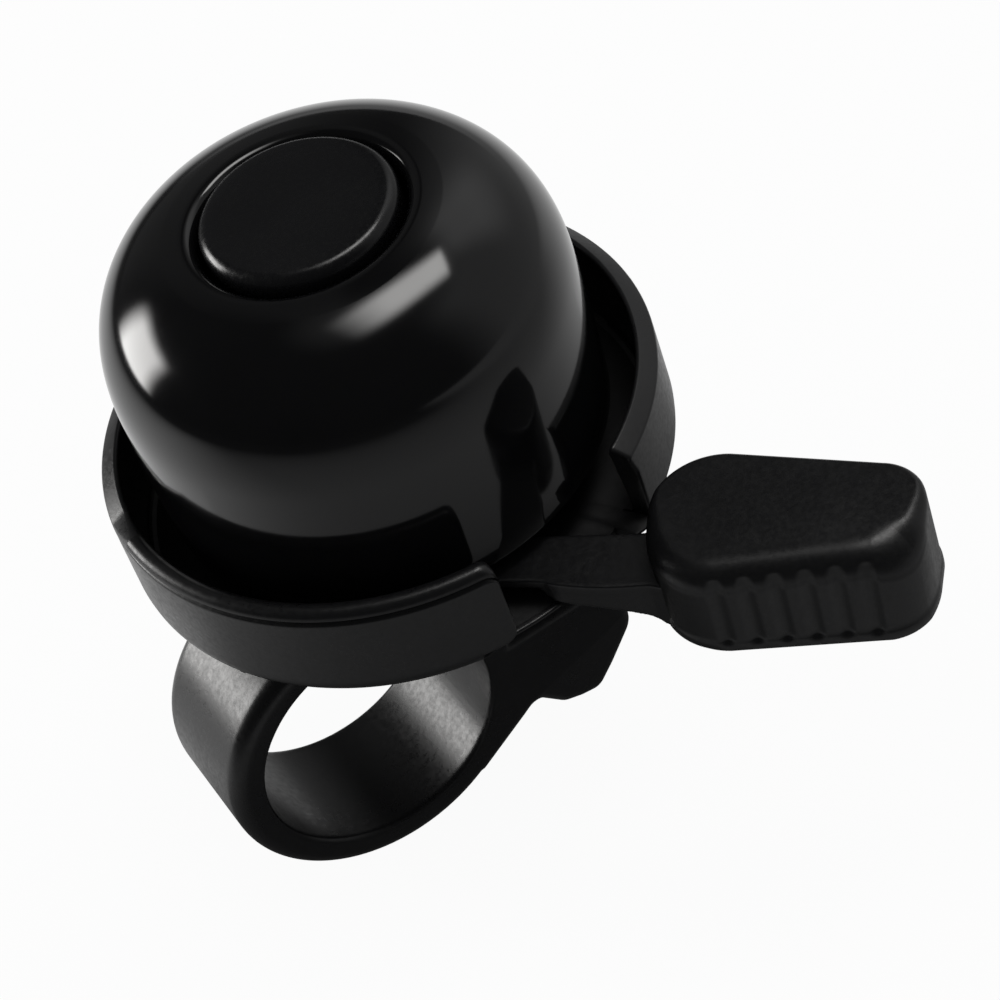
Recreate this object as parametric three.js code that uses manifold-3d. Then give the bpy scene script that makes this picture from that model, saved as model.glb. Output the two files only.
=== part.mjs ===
// A thumb-lever bicycle bell: a gloss dome over a black cup, clamped round a handlebar.
// Millimetres, +Z up. The handlebar runs along Y and its axis passes through the origin.

import * as THREE from 'three';
import { mergeVertices } from 'three/addons/utils/BufferGeometryUtils.js';
import Module from 'manifold-3d';

const wasm = await Module();
wasm.setup();

// Driving dimensions

// Strap clamp round the bar
const boreRadius = 11.25;
const strapWall = 3.1;
const strapWidth = 13.4;
const strapEdge = 1.3;
const jawEdge = 0.6;
const strapRoom = 0.6;
const jawRoom = 0.8;
const partingHeight = 1.5;
const hingeReach = 15;
const hingeAngle = 95;
const hingeRoomAngle = 4;
const knuckleRoomAngle = 11;
const knuckleRadius = 2.5;
const knuckleWidth = 6;
const hingePinRadius = 1.2;

// Where the dome stands over the bar
const bellOffset = 12.4;
const domeFoot = 25.4;

// Dome
const domeRadius = 19.8;
const domeTaper = 0.4;
const domeFootShare = 0.25;
const domeWaist = 12.7;
const domeCrown = 26.9;
const domeRoundness = 2.66;
const domeWall = 0.9;
const recessRadius = 9.1;
const recessDepth = 5.2;
const recessEdge = 0.5;
const domeHoleRadius = 3.1;

// Cap on the dome
const capRoom = 0.8;
const capEdge = 1.1;
const capWall = 1.2;
const capTop = 1.4;
const capSocketWall = 1;

// Cup and floor of the base
const cupRoom = 2.55;
const cupWall = 1.75;
const cupCorner = 1.9;
const floorLevel = 5.6;
const floorThickness = 1.05;
const floorEdgeInset = 1.15;
const rearRimInner = 4.3;
const rearRimOuter = 3.1;
const frontRim = 5;
const grooveDepth = 0.3;
const gapStart = -95;
const gapEnd = -57;
const notchStart = -84;
const notchEnd = -62;
const notchInset = 2.5;
const frontWallStart = 180;
const rampAngle = 10;
const slitEnd = -103;
const slitHeight = 0.85;
const slitAngleOver = 1;

// Centre post, its insert and the stack that holds the dome
const postFootRadius = 5;
const postRadius = 4;
const insertRadius = 3;
const insertLength = 7;
const threadRadius = 2;
const collarRadius = 4.8;
const collarThickness = 1.3;
const dishRadius = 4.5;
const dishThickness = 0.8;
const lockRadius = 3.5;
const lockThickness = 0.8;
const lockGap = 0.7;
const headRadius = 3.6;
const headHeight = 2.1;
const domeScrewLength = 14;
const driveWidth = 0.9;
const driveDepth = 0.9;
const driveReachShare = 0.6;

// Thumb lever
const leverAngle = -41;
const leverHubRoom = 1.9;
const leverSetback = 1;
const leverLift = 0.35;
const leverThickness = 2.5;
const leverSkin = 1;
const leverHubRadius = 4.2;
const leverNeckRadius = 2.9;
const leverNeckHeight = 4.4;
const leverFront = 3.2;
const leverBack = 1.6;
const armStepInset = 2.47;
const armDrop = 0.9;
const armDropInset = 3.07;
const armDropOver = 2.73;
const padRoom = 3.93;
const padLength = 22.8;
const padInnerHalf = 6.7;
const padOuterHalf = 5.1;
const padTop = 2.2;
const padHeight = 9;
const padWall = 1.5;
const padEdge = 1.2;
const padFlange = 0.25;
const padFlangeHeight = 0.9;
const padInnerCorner = 6;
const padOuterCorner = 4.2;
const ribCount = 6;
const ribPitch = 2.4;
const ribRadius = 0.5;
const ribDrop = 1;
const ribInset = 6.4;
const tailShort = 8.7;
const tailAngle = 138.9;
const tailHalf = 1.6;
const pegRadius = 1;
const pegHeight = 2.9;
const springPegReach = 5.3;
const springPegRadius = 0.8;
const springPegHeight = 1.1;

// Pivots
const pivotRadius = 1.9;
const pivotHeadRadius = 3.6;
const pivotHeadHeight = 0.9;
const pivotTailRadius = 1.2;
const pivotTailLength = 3.4;
const thrustThickness = 0.5;
const thrustRadius = 3.4;
const bossRadius = 3.2;
const bossDrop = 3;

// Hammer
const hammerPivotAngle = 128.05;
const hammerHubRoom = 1.3;
const hammerHubRadius = 2.6;
const hammerThickness = 1.8;
const hammerLift = 0.5;
const hammerHalf = 1.5;
const hammerShort = 3.9;
const hammerPinRadius = 1.2;
const hammerPinHeadRadius = 2.5;
const strikerRadius = 1.9;
const strikerNeckRadius = 1;
const strikerHeight = 4.6;
const hammerEyeRadius = 2.1;

// Springs
const leverWire = 0.6;
const leverCoilRadius = 3.7;
const leverCoilPitch = 1.05;
const leverCoilTurns = 2;
const leverFootLeg = 5.6;
const leverLegOver = 0.6;
const hammerWire = 0.45;
const hammerCoilRadius = 1.95;
const hammerCoilPitch = 0.9;
const hammerCoilTurns = 2;
const hammerFootLeg = 5.6;
const hammerPegReach = 4.6;
const hammerPegRadius = 0.55;
const hammerPegHeight = 0.9;
const coilSteps = 8;
const wireSides = 5;

// Lug, ear and clamp fasteners
const lugInner = 14;
const lugOuter = 25.6;
const lugWaist = 5.9;
const lugNeckX = 14.55;
const lugNeckDrop = 7.8;
const lugHeelX = 16.9;
const lugHeelDrop = 10.2;
const lugToeX = 20.45;
const lugDepth = 11.2;
const lugSwell = 0.3;
const lugTipX = 22.5;
const lugTipDrop = 9.2;
const screwX = 19.6;
const clampSeat = 5;
const clampHeadRadius = 3.4;
const clampHeadHeight = 2.4;
const clampScrewLength = 15.6;
const clampHoleSlack = 0.9;
const clampRoom = 0.85;
const washerRadius = 3.7;
const washerThickness = 0.7;
const washerHoleSlack = 0.25;
const nutFlats = 7;
const nutThickness = 3.2;
const nutHeight = 7;
const saddleLeft = 8.6;
const cavityStart = 70;
const cavityEnd = 42;
const ribWeb = 3.2;

// Fits
const seatGap = 0.2;
const runGap = 0.3;
const threadGap = 0.15;
const overrun = 1;
const headRoundShare = 0.87;
const edgeShare = 1 / 3;
const hexCornerShare = 1 / Math.sqrt(3);
const weld = 1e-4;

// Facets
const roundSteps = 64;
const smallSteps = 24;
const arcSteps = 10;

const rad = THREE.MathUtils.degToRad;

// Shape tools

// Turns a closed triangle geometry into a solid that can be joined and cut.
function toSolid(geometry) {
  const bare = geometry.clone();
  bare.deleteAttribute('normal');
  bare.deleteAttribute('uv');
  const joined = mergeVertices(bare, weld);
  const corners = joined.index.array;
  const kept = [];
  for (let i = 0; i < corners.length; i += 3) {
    const [a, b, c] = [corners[i], corners[i + 1], corners[i + 2]];
    if (a !== b && b !== c && c !== a) kept.push(a, b, c);
  }
  const places = joined.attributes.position.array;
  const outward = signedVolume(places, kept) > 0;
  const triVerts = new Uint32Array(outward ? kept : kept.reverse());
  return new wasm.Manifold(new wasm.Mesh({ numProp: 3, vertProperties: new Float32Array(places), triVerts }));
}

function signedVolume(places, corners) {
  let sum = 0;
  const [a, b, c] = [new THREE.Vector3(), new THREE.Vector3(), new THREE.Vector3()];
  for (let i = 0; i < corners.length; i += 3) {
    a.fromArray(places, 3 * corners[i]);
    b.fromArray(places, 3 * corners[i + 1]);
    c.fromArray(places, 3 * corners[i + 2]);
    sum += a.dot(b.cross(c)) / 6;
  }
  return sum;
}

function toGeometry(solid) {
  const mesh = solid.getMesh();
  const geometry = new THREE.BufferGeometry();
  geometry.setAttribute('position', new THREE.BufferAttribute(new Float32Array(mesh.vertProperties), 3));
  geometry.setIndex(new THREE.BufferAttribute(new Uint32Array(mesh.triVerts), 1));
  geometry.computeVertexNormals();
  return geometry;
}

// A solid of revolution about Z from [radius, height] pairs.
function turned(pairs, steps = roundSteps) {
  const points = pairs.map(([r, z]) => new THREE.Vector2(r, z));
  return toSolid(new THREE.LatheGeometry(points, steps).rotateX(Math.PI / 2));
}

// A ring or, with no hole, a disc between two heights.
function ring(inner, outer, low, high, steps = smallSteps) {
  if (inner === 0) return turned([[0, low], [outer, low], [outer, high], [0, high]], steps);
  return turned([[inner, low], [outer, low], [outer, high], [inner, high], [inner, low]], steps);
}

// An outline in X and Y made into a plate between two heights.
function plate(points, low, high, bevel = 0) {
  const shape = new THREE.Shape(points.map(([x, y]) => new THREE.Vector2(x, y)));
  const options = { depth: high - low, bevelEnabled: false, curveSegments: arcSteps };
  if (bevel > 0) {
    options.depth = high - low - 2 * bevel;
    options.bevelEnabled = true;
    options.bevelThickness = bevel;
    options.bevelSize = bevel;
    options.bevelOffset = -bevel;
    options.bevelSegments = 2;
  }
  const rise = bevel > 0 ? low + bevel : low;
  return toSolid(new THREE.ExtrudeGeometry(shape, options).translate(0, 0, rise));
}

// An outline in X and Z made into a block centred on the bar's length.
function block(points, width, bevel = 0) {
  const flat = toGeometry(plate(points, -width / 2, width / 2, bevel));
  return toSolid(flat.rotateX(Math.PI / 2));
}

// A bar-wise cylinder along Y.
function barwise(radius, x, z, from, to, steps = smallSteps) {
  const upright = toGeometry(ring(0, radius, from, to, steps));
  return toSolid(upright.rotateX(-Math.PI / 2).translate(x, 0, z));
}

function moved(solid, x, y, z) {
  return toSolid(toGeometry(solid).translate(x, y, z));
}

function spun(solid, degrees) {
  return toSolid(toGeometry(solid).rotateZ(rad(degrees)));
}

// Points of an arc round a centre, in degrees.
function arc(cx, cy, radius, from, to, steps = arcSteps) {
  const points = [];
  for (let i = 0; i <= steps; i += 1) {
    const angle = rad(from + (to - from) * i / steps);
    points.push([cx + radius * Math.cos(angle), cy + radius * Math.sin(angle)]);
  }
  return points;
}

// A slice of a ring between two directions, in degrees.
function slice(inner, outer, low, high, from, to) {
  const far = arc(0, 0, outer, from, to);
  const near = arc(0, 0, inner, to, from);
  return plate([...far, ...near], low, high);
}

// A regular hexagon outline with the given width across its flats.
function hexagon(flats) {
  return arc(0, 0, flats * hexCornerShare, 0, 300, 5);
}

// An outline moved out along its own normals, or in for a negative amount.
function offset(points, amount) {
  return points.map(([x, y], i) => {
    const [ax, ay] = points[(i + points.length - 1) % points.length];
    const [bx, by] = points[(i + 1) % points.length];
    const length = Math.hypot(bx - ax, by - ay);
    return [x + amount * (by - ay) / length, y - amount * (bx - ax) / length];
  });
}

// A closed solid through outlines of equal count at rising heights.
function loft(levels) {
  const count = levels[0].points.length;
  const places = levels.flatMap(({ points, z }) => points.flatMap(([x, y]) => [x, y, z]));
  const index = [];
  for (let level = 0; level + 1 < levels.length; level += 1) {
    for (let i = 0; i < count; i += 1) {
      const next = (i + 1) % count;
      const [a, b] = [level * count + i, level * count + next];
      index.push(a, b, b + count, a, b + count, a + count);
    }
  }
  const top = (levels.length - 1) * count;
  for (let i = 1; i + 1 < count; i += 1) {
    index.push(0, i + 1, i, top, top + i, top + i + 1);
  }
  const geometry = new THREE.BufferGeometry();
  geometry.setAttribute('position', new THREE.Float32BufferAttribute(places, 3));
  geometry.setIndex(index);
  return toSolid(geometry);
}

// A round wire along a list of places, closed at both ends.
function wire(places, thickness) {
  const path = new THREE.CatmullRomCurve3(places, false, 'centripetal');
  const section = new THREE.Shape(arc(0, 0, thickness / 2, 0, 360 - 360 / wireSides, wireSides - 1)
    .map(([x, y]) => new THREE.Vector2(x, y)));
  const steps = Math.ceil(path.getLength() / places[1].distanceTo(places[2]));
  const options = { steps, bevelEnabled: false, extrudePath: path };
  return toSolid(new THREE.ExtrudeGeometry(section, options));
}

// Direction of a spring leg, in degrees, that passes a peg at a given distance.
// Distances count to the left of the leg, for the coil's centre and for the peg.
function legDirection(pegX, pegY, coilLeft, pegLeft) {
  const aim = THREE.MathUtils.radToDeg(Math.atan2(pegY, pegX));
  return aim - THREE.MathUtils.radToDeg(Math.asin((pegLeft - coilLeft) / Math.hypot(pegX, pegY)));
}

// Places of a torsion spring: a straight leg, the coil and a second straight leg.
// The hand is 1 for a coil that rises anticlockwise and -1 for one that rises clockwise.
function springPlaces(size, foot, head, hand) {
  const start = foot + hand * 90;
  const turn = ((hand * (head - hand * 90 - start)) % 360 + 360) % 360;
  const sweep = hand * (turn + 360 * size.turns);
  const count = Math.round(Math.abs(sweep) / 360 * coilSteps);
  const places = [];
  for (let i = 0; i <= count; i += 1) {
    const angle = rad(start + sweep * i / count);
    const rise = size.pitch * Math.abs(sweep) / 360 * i / count;
    places.push(new THREE.Vector3(size.radius * Math.cos(angle), size.radius * Math.sin(angle), rise));
  }
  const footLeg = new THREE.Vector3(Math.cos(rad(foot)), Math.sin(rad(foot)), 0).multiplyScalar(size.footLeg);
  const headLeg = new THREE.Vector3(Math.cos(rad(head)), Math.sin(rad(head)), 0).multiplyScalar(size.headLeg);
  places.unshift(places[0].clone().add(footLeg));
  places.push(places[places.length - 1].clone().add(headLeg));
  return places;
}

// Least room between turns of a spring, measured on points a turn and more apart.
function turnRoom(places, thickness) {
  let least = Infinity;
  const coil = places.slice(1, -1);
  coil.forEach((a, i) => {
    for (let j = i + coilSteps - 1; j < coil.length; j += 1) least = Math.min(least, a.distanceTo(coil[j]));
  });
  return least - thickness;
}

// Materials
function gloss() {
  return new THREE.MeshStandardMaterial({ color: 0x0b0b0c, roughness: 0.12, metalness: 0.6 });
}

function satin() {
  return new THREE.MeshStandardMaterial({ color: 0x111112, roughness: 0.48, metalness: 0 });
}

function steel() {
  return new THREE.MeshStandardMaterial({ color: 0xa9abad, roughness: 0.35, metalness: 1 });
}

function brass() {
  return new THREE.MeshStandardMaterial({ color: 0xb08d4a, roughness: 0.35, metalness: 1 });
}

function nylon() {
  return new THREE.MeshStandardMaterial({ color: 0xd9d6cc, roughness: 0.6, metalness: 0 });
}

const root = new THREE.Group();
const bell = new THREE.Group();
bell.position.set(bellOffset, 0, domeFoot);
root.add(bell);

function place(parent, name, solid, material) {
  const mesh = new THREE.Mesh(toGeometry(solid), material);
  mesh.name = name;
  parent.add(mesh);
  return mesh;
}

// Dome: nearly upright sides, a rounded shoulder and a recess for the cap.
const domeFootRadius = domeRadius - domeTaper;
const crownRise = domeCrown - domeWaist;

function shoulder(inset, low, steps) {
  const points = [];
  for (let i = 0; i <= steps; i += 1) {
    const angle = Math.PI / 2 * i / steps;
    const r = (domeRadius - inset) * Math.cos(angle) ** (2 / domeRoundness);
    const z = domeWaist + (crownRise - inset) * Math.sin(angle) ** (2 / domeRoundness);
    if (r > low) points.push([r, z]);
  }
  return points;
}

function shoulderHeight(radius, inset) {
  const share = radius / (domeRadius - inset);
  return domeWaist + (crownRise - inset) * (1 - share ** domeRoundness) ** (1 / domeRoundness);
}

const recessTop = shoulderHeight(recessRadius + recessEdge, 0);
const recessFloor = recessTop - recessDepth;
const domeOutside = shoulder(0, recessRadius + 2 * recessEdge, 14);
const domeInside = shoulder(domeWall, recessRadius + 2 * domeWall, 12).reverse();
const domeProfile = [
  [domeFootRadius - domeWall, 0],
  [domeFootRadius, 0],
  [domeRadius - domeTaper / 2, domeWaist * domeFootShare],
  ...domeOutside,
  [recessRadius + recessEdge, recessTop],
  [recessRadius, recessTop - recessEdge],
  [recessRadius, recessFloor],
  [domeHoleRadius, recessFloor],
  [domeHoleRadius, recessFloor - domeWall],
  [recessRadius + domeWall, recessFloor - domeWall],
  [recessRadius + domeWall, shoulderHeight(recessRadius + domeWall, domeWall)],
  ...domeInside,
  [domeRadius - domeTaper / 2 - domeWall, domeWaist * domeFootShare],
  [domeFootRadius - domeWall, 0],
];
place(bell, 'dome', turned(domeProfile), gloss());

// The stack above and below the dome's middle, from the post upwards.
const dishLow = recessFloor + seatGap;
const lockLow = dishLow + dishThickness + seatGap;
const headLow = lockLow + lockThickness + seatGap;
const shankRadius = threadRadius;
const collarTop = recessFloor - domeWall - seatGap;
const collarLow = collarTop - collarThickness;
const postTop = collarLow - seatGap;
const spigotRadius = domeHoleRadius - seatGap;
const collarBore = shankRadius + seatGap;
const domeCollar = turned([
  [collarBore, collarLow],
  [collarRadius, collarLow],
  [collarRadius, collarTop],
  [spigotRadius, collarTop],
  [spigotRadius, collarTop + seatGap + domeWall / 2],
  [collarBore, collarTop + seatGap + domeWall / 2],
  [collarBore, collarLow],
], smallSteps);
place(bell, 'dome_collar', domeCollar, nylon());

place(bell, 'dome_washer', ring(collarBore, dishRadius, dishLow, dishLow + dishThickness), steel());

const lockSplit = plate([
  [0, -lockGap / 2],
  [lockRadius + overrun, -lockGap / 2],
  [lockRadius + overrun, lockGap / 2],
  [0, lockGap / 2],
], lockLow - overrun, lockLow + lockThickness + overrun);
const lockWasher = ring(collarBore, lockRadius, lockLow, lockLow + lockThickness).subtract(lockSplit);
place(bell, 'dome_lock_washer', lockWasher, steel());

// A cross recess for a driver, opening upwards at the given height.
function crossRecess(radius, top) {
  const reach = radius * driveReachShare;
  const bar = [
    [-reach, -driveWidth / 2],
    [reach, -driveWidth / 2],
    [reach, driveWidth / 2],
    [-reach, driveWidth / 2],
  ];
  const one = plate(bar, top - driveDepth, top + overrun);
  return one.add(spun(one, 90));
}

const headTop = headLow + headHeight;
const domeScrew = turned([
  [0, headLow - domeScrewLength],
  [shankRadius, headLow - domeScrewLength],
  [shankRadius, headLow],
  [headRadius, headLow],
  [headRadius, headLow + headHeight / 2],
  [headRadius * headRoundShare, headTop],
  [0, headTop],
], smallSteps).subtract(crossRecess(headRadius, headTop));
place(bell, 'dome_screw', domeScrew, steel());

// Cap: a hollow disc whose inner socket grips the screw head.
const capRadius = recessRadius - capRoom;
const capHeight = domeCrown;
const capFoot = recessFloor + seatGap;
const capInside = capHeight - capTop;
const socketInner = headRadius + seatGap;
const capArc = arc(capRadius - capEdge, capHeight - capEdge, capEdge, 0, 90, 4);
const capShell = turned([
  [capRadius - capWall, capFoot],
  [capRadius, capFoot],
  ...capArc,
  [0, capHeight],
  [0, capInside],
  [capRadius - capWall, capInside],
  [capRadius - capWall, capFoot],
], 48);
const capSocket = ring(socketInner, socketInner + capSocketWall, headLow + seatGap, capInside + capTop / 2);
place(bell, 'dome_cap', capShell.add(capSocket), satin());

// Base: floor, cup wall, posts, pegs, saddle and upper jaw in one moulding.
const floorBottom = -floorLevel;
const floorTop = floorBottom + floorThickness;
const cupInner = domeRadius + cupRoom;
const cupRadius = cupInner + cupWall;
const floorEdge = cupRadius - floorEdgeInset;
const slitLow = floorTop - slitHeight / 2;
const slitHigh = floorTop + slitHeight / 2;
const slitMiddle = floorTop;
const beadMiddle = cupRadius - cupWall / 2;
const beadFoot = frontRim - cupWall / 2;
const cupProfile = [
  [0, floorBottom],
  ...arc(cupRadius - cupCorner, floorBottom + cupCorner, cupCorner, -90, 0, 4),
  [cupRadius, beadFoot - 2 * grooveDepth],
  [cupRadius - grooveDepth, beadFoot - grooveDepth],
  ...arc(beadMiddle, beadFoot, cupWall / 2, 0, 180, 6),
  [cupInner, floorTop],
  [0, floorTop],
];
const tall = domeWaist;
const frontEnd = gapStart + 360;
const rearMiddle = (frontEnd + frontWallStart) / 2 + 180;
const rearHalf = 180 - (frontEnd - frontWallStart) / 2;

// What stands above the rear rim, cut away behind and left as a ramp at the front wall's start
const aboveRear = turned([
  [cupInner - overrun, rearRimInner + (rearRimInner - rearRimOuter) * overrun / cupWall],
  [cupRadius + overrun, rearRimOuter - (rearRimInner - rearRimOuter) * overrun / cupWall],
  [cupRadius + overrun, tall],
  [cupInner - overrun, tall],
  [cupInner - overrun, rearRimInner + (rearRimInner - rearRimOuter) * overrun / cupWall],
]);
const rampRun = cupRadius * Math.sin(rad(rampAngle));
const rampRise = frontRim - rearRimOuter;
const rampSteep = Math.atan2(rampRise, rampRun);
const rampWedge = toSolid(toGeometry(plate([
  [-cupRadius, -2 * rampRun],
  [cupRadius, -2 * rampRun],
  [cupRadius, 0],
  [-cupRadius, 0],
], -cupWall * 2, cupWall * 2)).rotateX(Math.PI / 2).rotateY(rampSteep).rotateZ(-Math.PI / 2));
const rampPlace = moved(rampWedge, beadMiddle, 0, frontRim);
const rearFrom = rearMiddle - rearHalf;
const rearTo = rearMiddle + rearHalf;
const rearCut = aboveRear
  .intersect(slice(cupInner - 2 * overrun, cupRadius + 2 * overrun, 0, 2 * tall, rearFrom, rearTo))
  .subtract(spun(rampPlace, frontWallStart));

const lipOut = cupRadius + 2 * overrun;
const lipLow = floorBottom - overrun;
const notchIn = cupRadius - notchInset;
const notchOut = lipOut + overrun;
const gapCut = slice(cupInner - overrun, cupRadius + overrun, floorTop, tall, gapStart, gapEnd)
  .add(slice(floorEdge, lipOut, lipLow, tall + overrun, gapStart, gapEnd))
  .add(slice(notchIn, notchOut, lipLow - overrun, tall / 2, notchStart, notchEnd));
const slitStart = gapStart + slitAngleOver;
const slitCut = slice(cupInner - overrun, cupRadius + overrun, slitLow, slitHigh, slitEnd, slitStart)
  .add(slice(floorEdge, lipOut, lipLow, slitMiddle, slitEnd, slitStart));

// Centre post with the pocket for its insert
const insertLow = postTop - insertLength;
const shankFoot = headLow - domeScrewLength;
const postPocket = ring(0, insertRadius + seatGap, insertLow, postTop + overrun);
const postBore = ring(0, threadRadius + runGap, shankFoot - overrun, postTop);
const centrePost = turned([
  [0, floorTop - floorThickness / 2],
  [postFootRadius, floorTop - floorThickness / 2],
  [postFootRadius, floorTop + floorThickness],
  [postRadius, floorTop + 2 * floorThickness],
  [postRadius, postTop],
  [0, postTop],
], 32).subtract(postPocket);

const insert = ring(threadRadius + threadGap, insertRadius, insertLow + seatGap, postTop);
place(bell, 'post_insert', insert, brass());

// Lever pivot and the directions along and across the arm
const worksRadius = domeFootRadius - domeWall;
const leverOffset = worksRadius - leverHubRadius - leverHubRoom;
const along = new THREE.Vector2(Math.cos(rad(leverAngle)), Math.sin(rad(leverAngle)));
const across = new THREE.Vector2(-along.y, along.x);
const pivotX = -across.x * leverOffset - along.x * leverSetback;
const pivotY = -across.y * leverOffset - along.y * leverSetback;
const leverLow = floorTop + leverLift;
const leverHigh = leverLow + leverThickness;
const neckTop = leverHigh + leverNeckHeight;

const hammerLow = leverHigh + hammerLift;
const hammerHigh = hammerLow + hammerThickness;
const hammerPivotReach = worksRadius - hammerHubRadius - hammerHubRoom;
const hammerPivotX = hammerPivotReach * Math.cos(rad(hammerPivotAngle));
const hammerPivotY = hammerPivotReach * Math.sin(rad(hammerPivotAngle));
const hammerReach = worksRadius - hammerShort;

function pivotBoss(x, y, seat, top) {
  const hole = ring(0, pivotTailRadius + threadGap, seat - pivotTailLength - seatGap, seat + overrun);
  const boss = ring(0, bossRadius, floorBottom - bossDrop, top);
  return { boss: moved(boss, x, y, 0), hole: moved(hole, x, y, 0) };
}

const leverSeat = floorTop;
const hammerSeat = hammerLow - runGap;
const leverBoss = pivotBoss(pivotX, pivotY, leverSeat, floorTop - floorThickness / 2);
const hammerBoss = pivotBoss(hammerPivotX, hammerPivotY, hammerSeat, hammerSeat);

// Rest stop for the lever's tail, and the pegs that the springs push on
const tailLength = worksRadius - tailShort;
const tailDirection = leverAngle + tailAngle;
const tailEndX = pivotX + tailLength * Math.cos(rad(tailDirection));
const tailEndY = pivotY + tailLength * Math.sin(rad(tailDirection));
const stopRun = tailLength - pegRadius;
const stopSide = tailHalf + pegRadius + runGap;
const stopX = pivotX + stopRun * Math.cos(rad(tailDirection)) + stopSide * Math.sin(rad(tailDirection));
const stopY = pivotY + stopRun * Math.sin(rad(tailDirection)) - stopSide * Math.cos(rad(tailDirection));
const pegFoot = floorTop - floorThickness / 2;
const pegWay = Math.hypot(tailEndX - hammerPivotX, tailEndY - hammerPivotY);
const pegAim = Math.atan2(tailEndY - hammerPivotY, tailEndX - hammerPivotX);
const pegAngle = pegAim - Math.asin((hammerHalf + pegRadius + seatGap) / pegWay);
const hammerAngle = THREE.MathUtils.radToDeg(pegAngle);
const stopPeg = moved(ring(0, pegRadius, pegFoot, leverHigh), stopX, stopY, 0);

// Saddle and upper jaw in the bar's frame, from the parting up to the floor
const hingeX = hingeReach * Math.cos(rad(hingeAngle));
const hingeZ = hingeReach * Math.sin(rad(hingeAngle));
const saddleTop = domeFoot + floorTop - seatGap;
const jawLow = partingHeight + jawRoom;
const strapRadius = boreRadius + strapWall;
const saddleFoot = strapRadius + strapRoom;
const jawLean = 1 / Math.tan(rad(hingeAngle - hingeRoomAngle));
const knuckleRoom = knuckleRadius + runGap;
const jawOutline = [
  [lugOuter, jawLow],
  [lugOuter, saddleTop],
  [-saddleLeft, saddleTop],
  [-saddleLeft, saddleFoot],
  [saddleFoot * jawLean, saddleFoot],
  [jawLow * jawLean, jawLow],
];
const far = strapWidth;
const sideRoom = barwise(knuckleRoom, hingeX, hingeZ, knuckleWidth / 2, far)
  .add(barwise(knuckleRoom, hingeX, hingeZ, -far, -knuckleWidth / 2));
const cavityTop = saddleTop - floorThickness;
const cavityFoot = nutHeight + nutThickness + strapWall;
const jawCavity = [
  [lugInner + strapWall, cavityTop],
  [strapRadius * Math.cos(rad(cavityStart)), cavityTop],
  ...arc(0, 0, strapRadius, cavityStart, cavityEnd),
  [lugInner, cavityFoot],
  [lugInner + strapWall, cavityFoot],
];
const cavityDepth = (strapWidth - ribWeb) / 2 + overrun;
const cavityPlace = (ribWeb + cavityDepth) / 2;
const cavityHalf = block(jawCavity, cavityDepth);
const nutRoom = nutFlats + 2 * seatGap;
const nutSlot = plate([
  ...arc(screwX, 0, nutRoom * hexCornerShare, 120, 240, 2),
  [screwX, -nutRoom / 2],
  [lugOuter + overrun, -nutRoom / 2],
  [lugOuter + overrun, nutRoom / 2],
  [screwX, nutRoom / 2],
], nutHeight - seatGap, nutHeight + nutThickness + seatGap);
const screwTip = -clampSeat + washerThickness + clampScrewLength;
const earBore = ring(0, threadRadius + clampHoleSlack / 2, jawLow - overrun, screwTip + overrun);
const earHole = moved(earBore, screwX, 0, 0);
const knuckle = barwise(knuckleRadius, hingeX, hingeZ, -knuckleWidth / 2, knuckleWidth / 2);
const pinHole = barwise(hingePinRadius + threadGap, hingeX, hingeZ, -far, far);
const jaw = block(jawOutline, strapWidth, jawEdge)
  .subtract(moved(cavityHalf, 0, cavityPlace, 0))
  .subtract(moved(cavityHalf, 0, -cavityPlace, 0))
  .subtract(sideRoom)
  .add(knuckle)
  .subtract(barwise(boreRadius, 0, 0, -far, far, 48))
  .subtract(pinHole)
  .subtract(nutSlot)
  .subtract(earHole);

const baseBody = turned(cupProfile)
  .subtract(rearCut)
  .subtract(gapCut)
  .subtract(slitCut)
  .add(centrePost)
  .subtract(postBore)
  .add(leverBoss.boss)
  .add(hammerBoss.boss)
  .add(stopPeg)
  .add(moved(jaw, -bellOffset, 0, -domeFoot))
  .subtract(leverBoss.hole)
  .subtract(hammerBoss.hole);
place(bell, 'base_body', baseBody, satin());

// Thumb lever, drawn along its own arm
const arm = new THREE.Group();
arm.position.set(pivotX, pivotY, 0);
arm.rotation.z = rad(leverAngle);
bell.add(arm);

const cupReach = Math.sqrt(cupRadius ** 2 - leverOffset ** 2) + leverSetback;
const armStep = cupReach - armStepInset;
const armDropFront = cupReach - armDropInset;
const armDropBack = cupReach + armDropOver;
const padInner = cupReach + padRoom;
const padOuter = padInner + padLength;
const ribStart = padInner + ribInset;
const padBottom = padTop - padHeight;
const padTaper = THREE.MathUtils.radToDeg(Math.atan2(padInnerHalf - padOuterHalf, padOuter - padInner));
const padOutline = [
  ...arc(padInner + padInnerCorner, -(padInnerHalf - padInnerCorner), padInnerCorner, 180, 270 + padTaper, 6),
  ...arc(padOuter - padOuterCorner, -(padOuterHalf - padOuterCorner), padOuterCorner, 270 + padTaper, 360, 6),
  ...arc(padOuter - padOuterCorner, padOuterHalf - padOuterCorner, padOuterCorner, 0, 90 - padTaper, 6),
  ...arc(padInner + padInnerCorner, padInnerHalf - padInnerCorner, padInnerCorner, 90 - padTaper, 180, 6),
];

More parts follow.
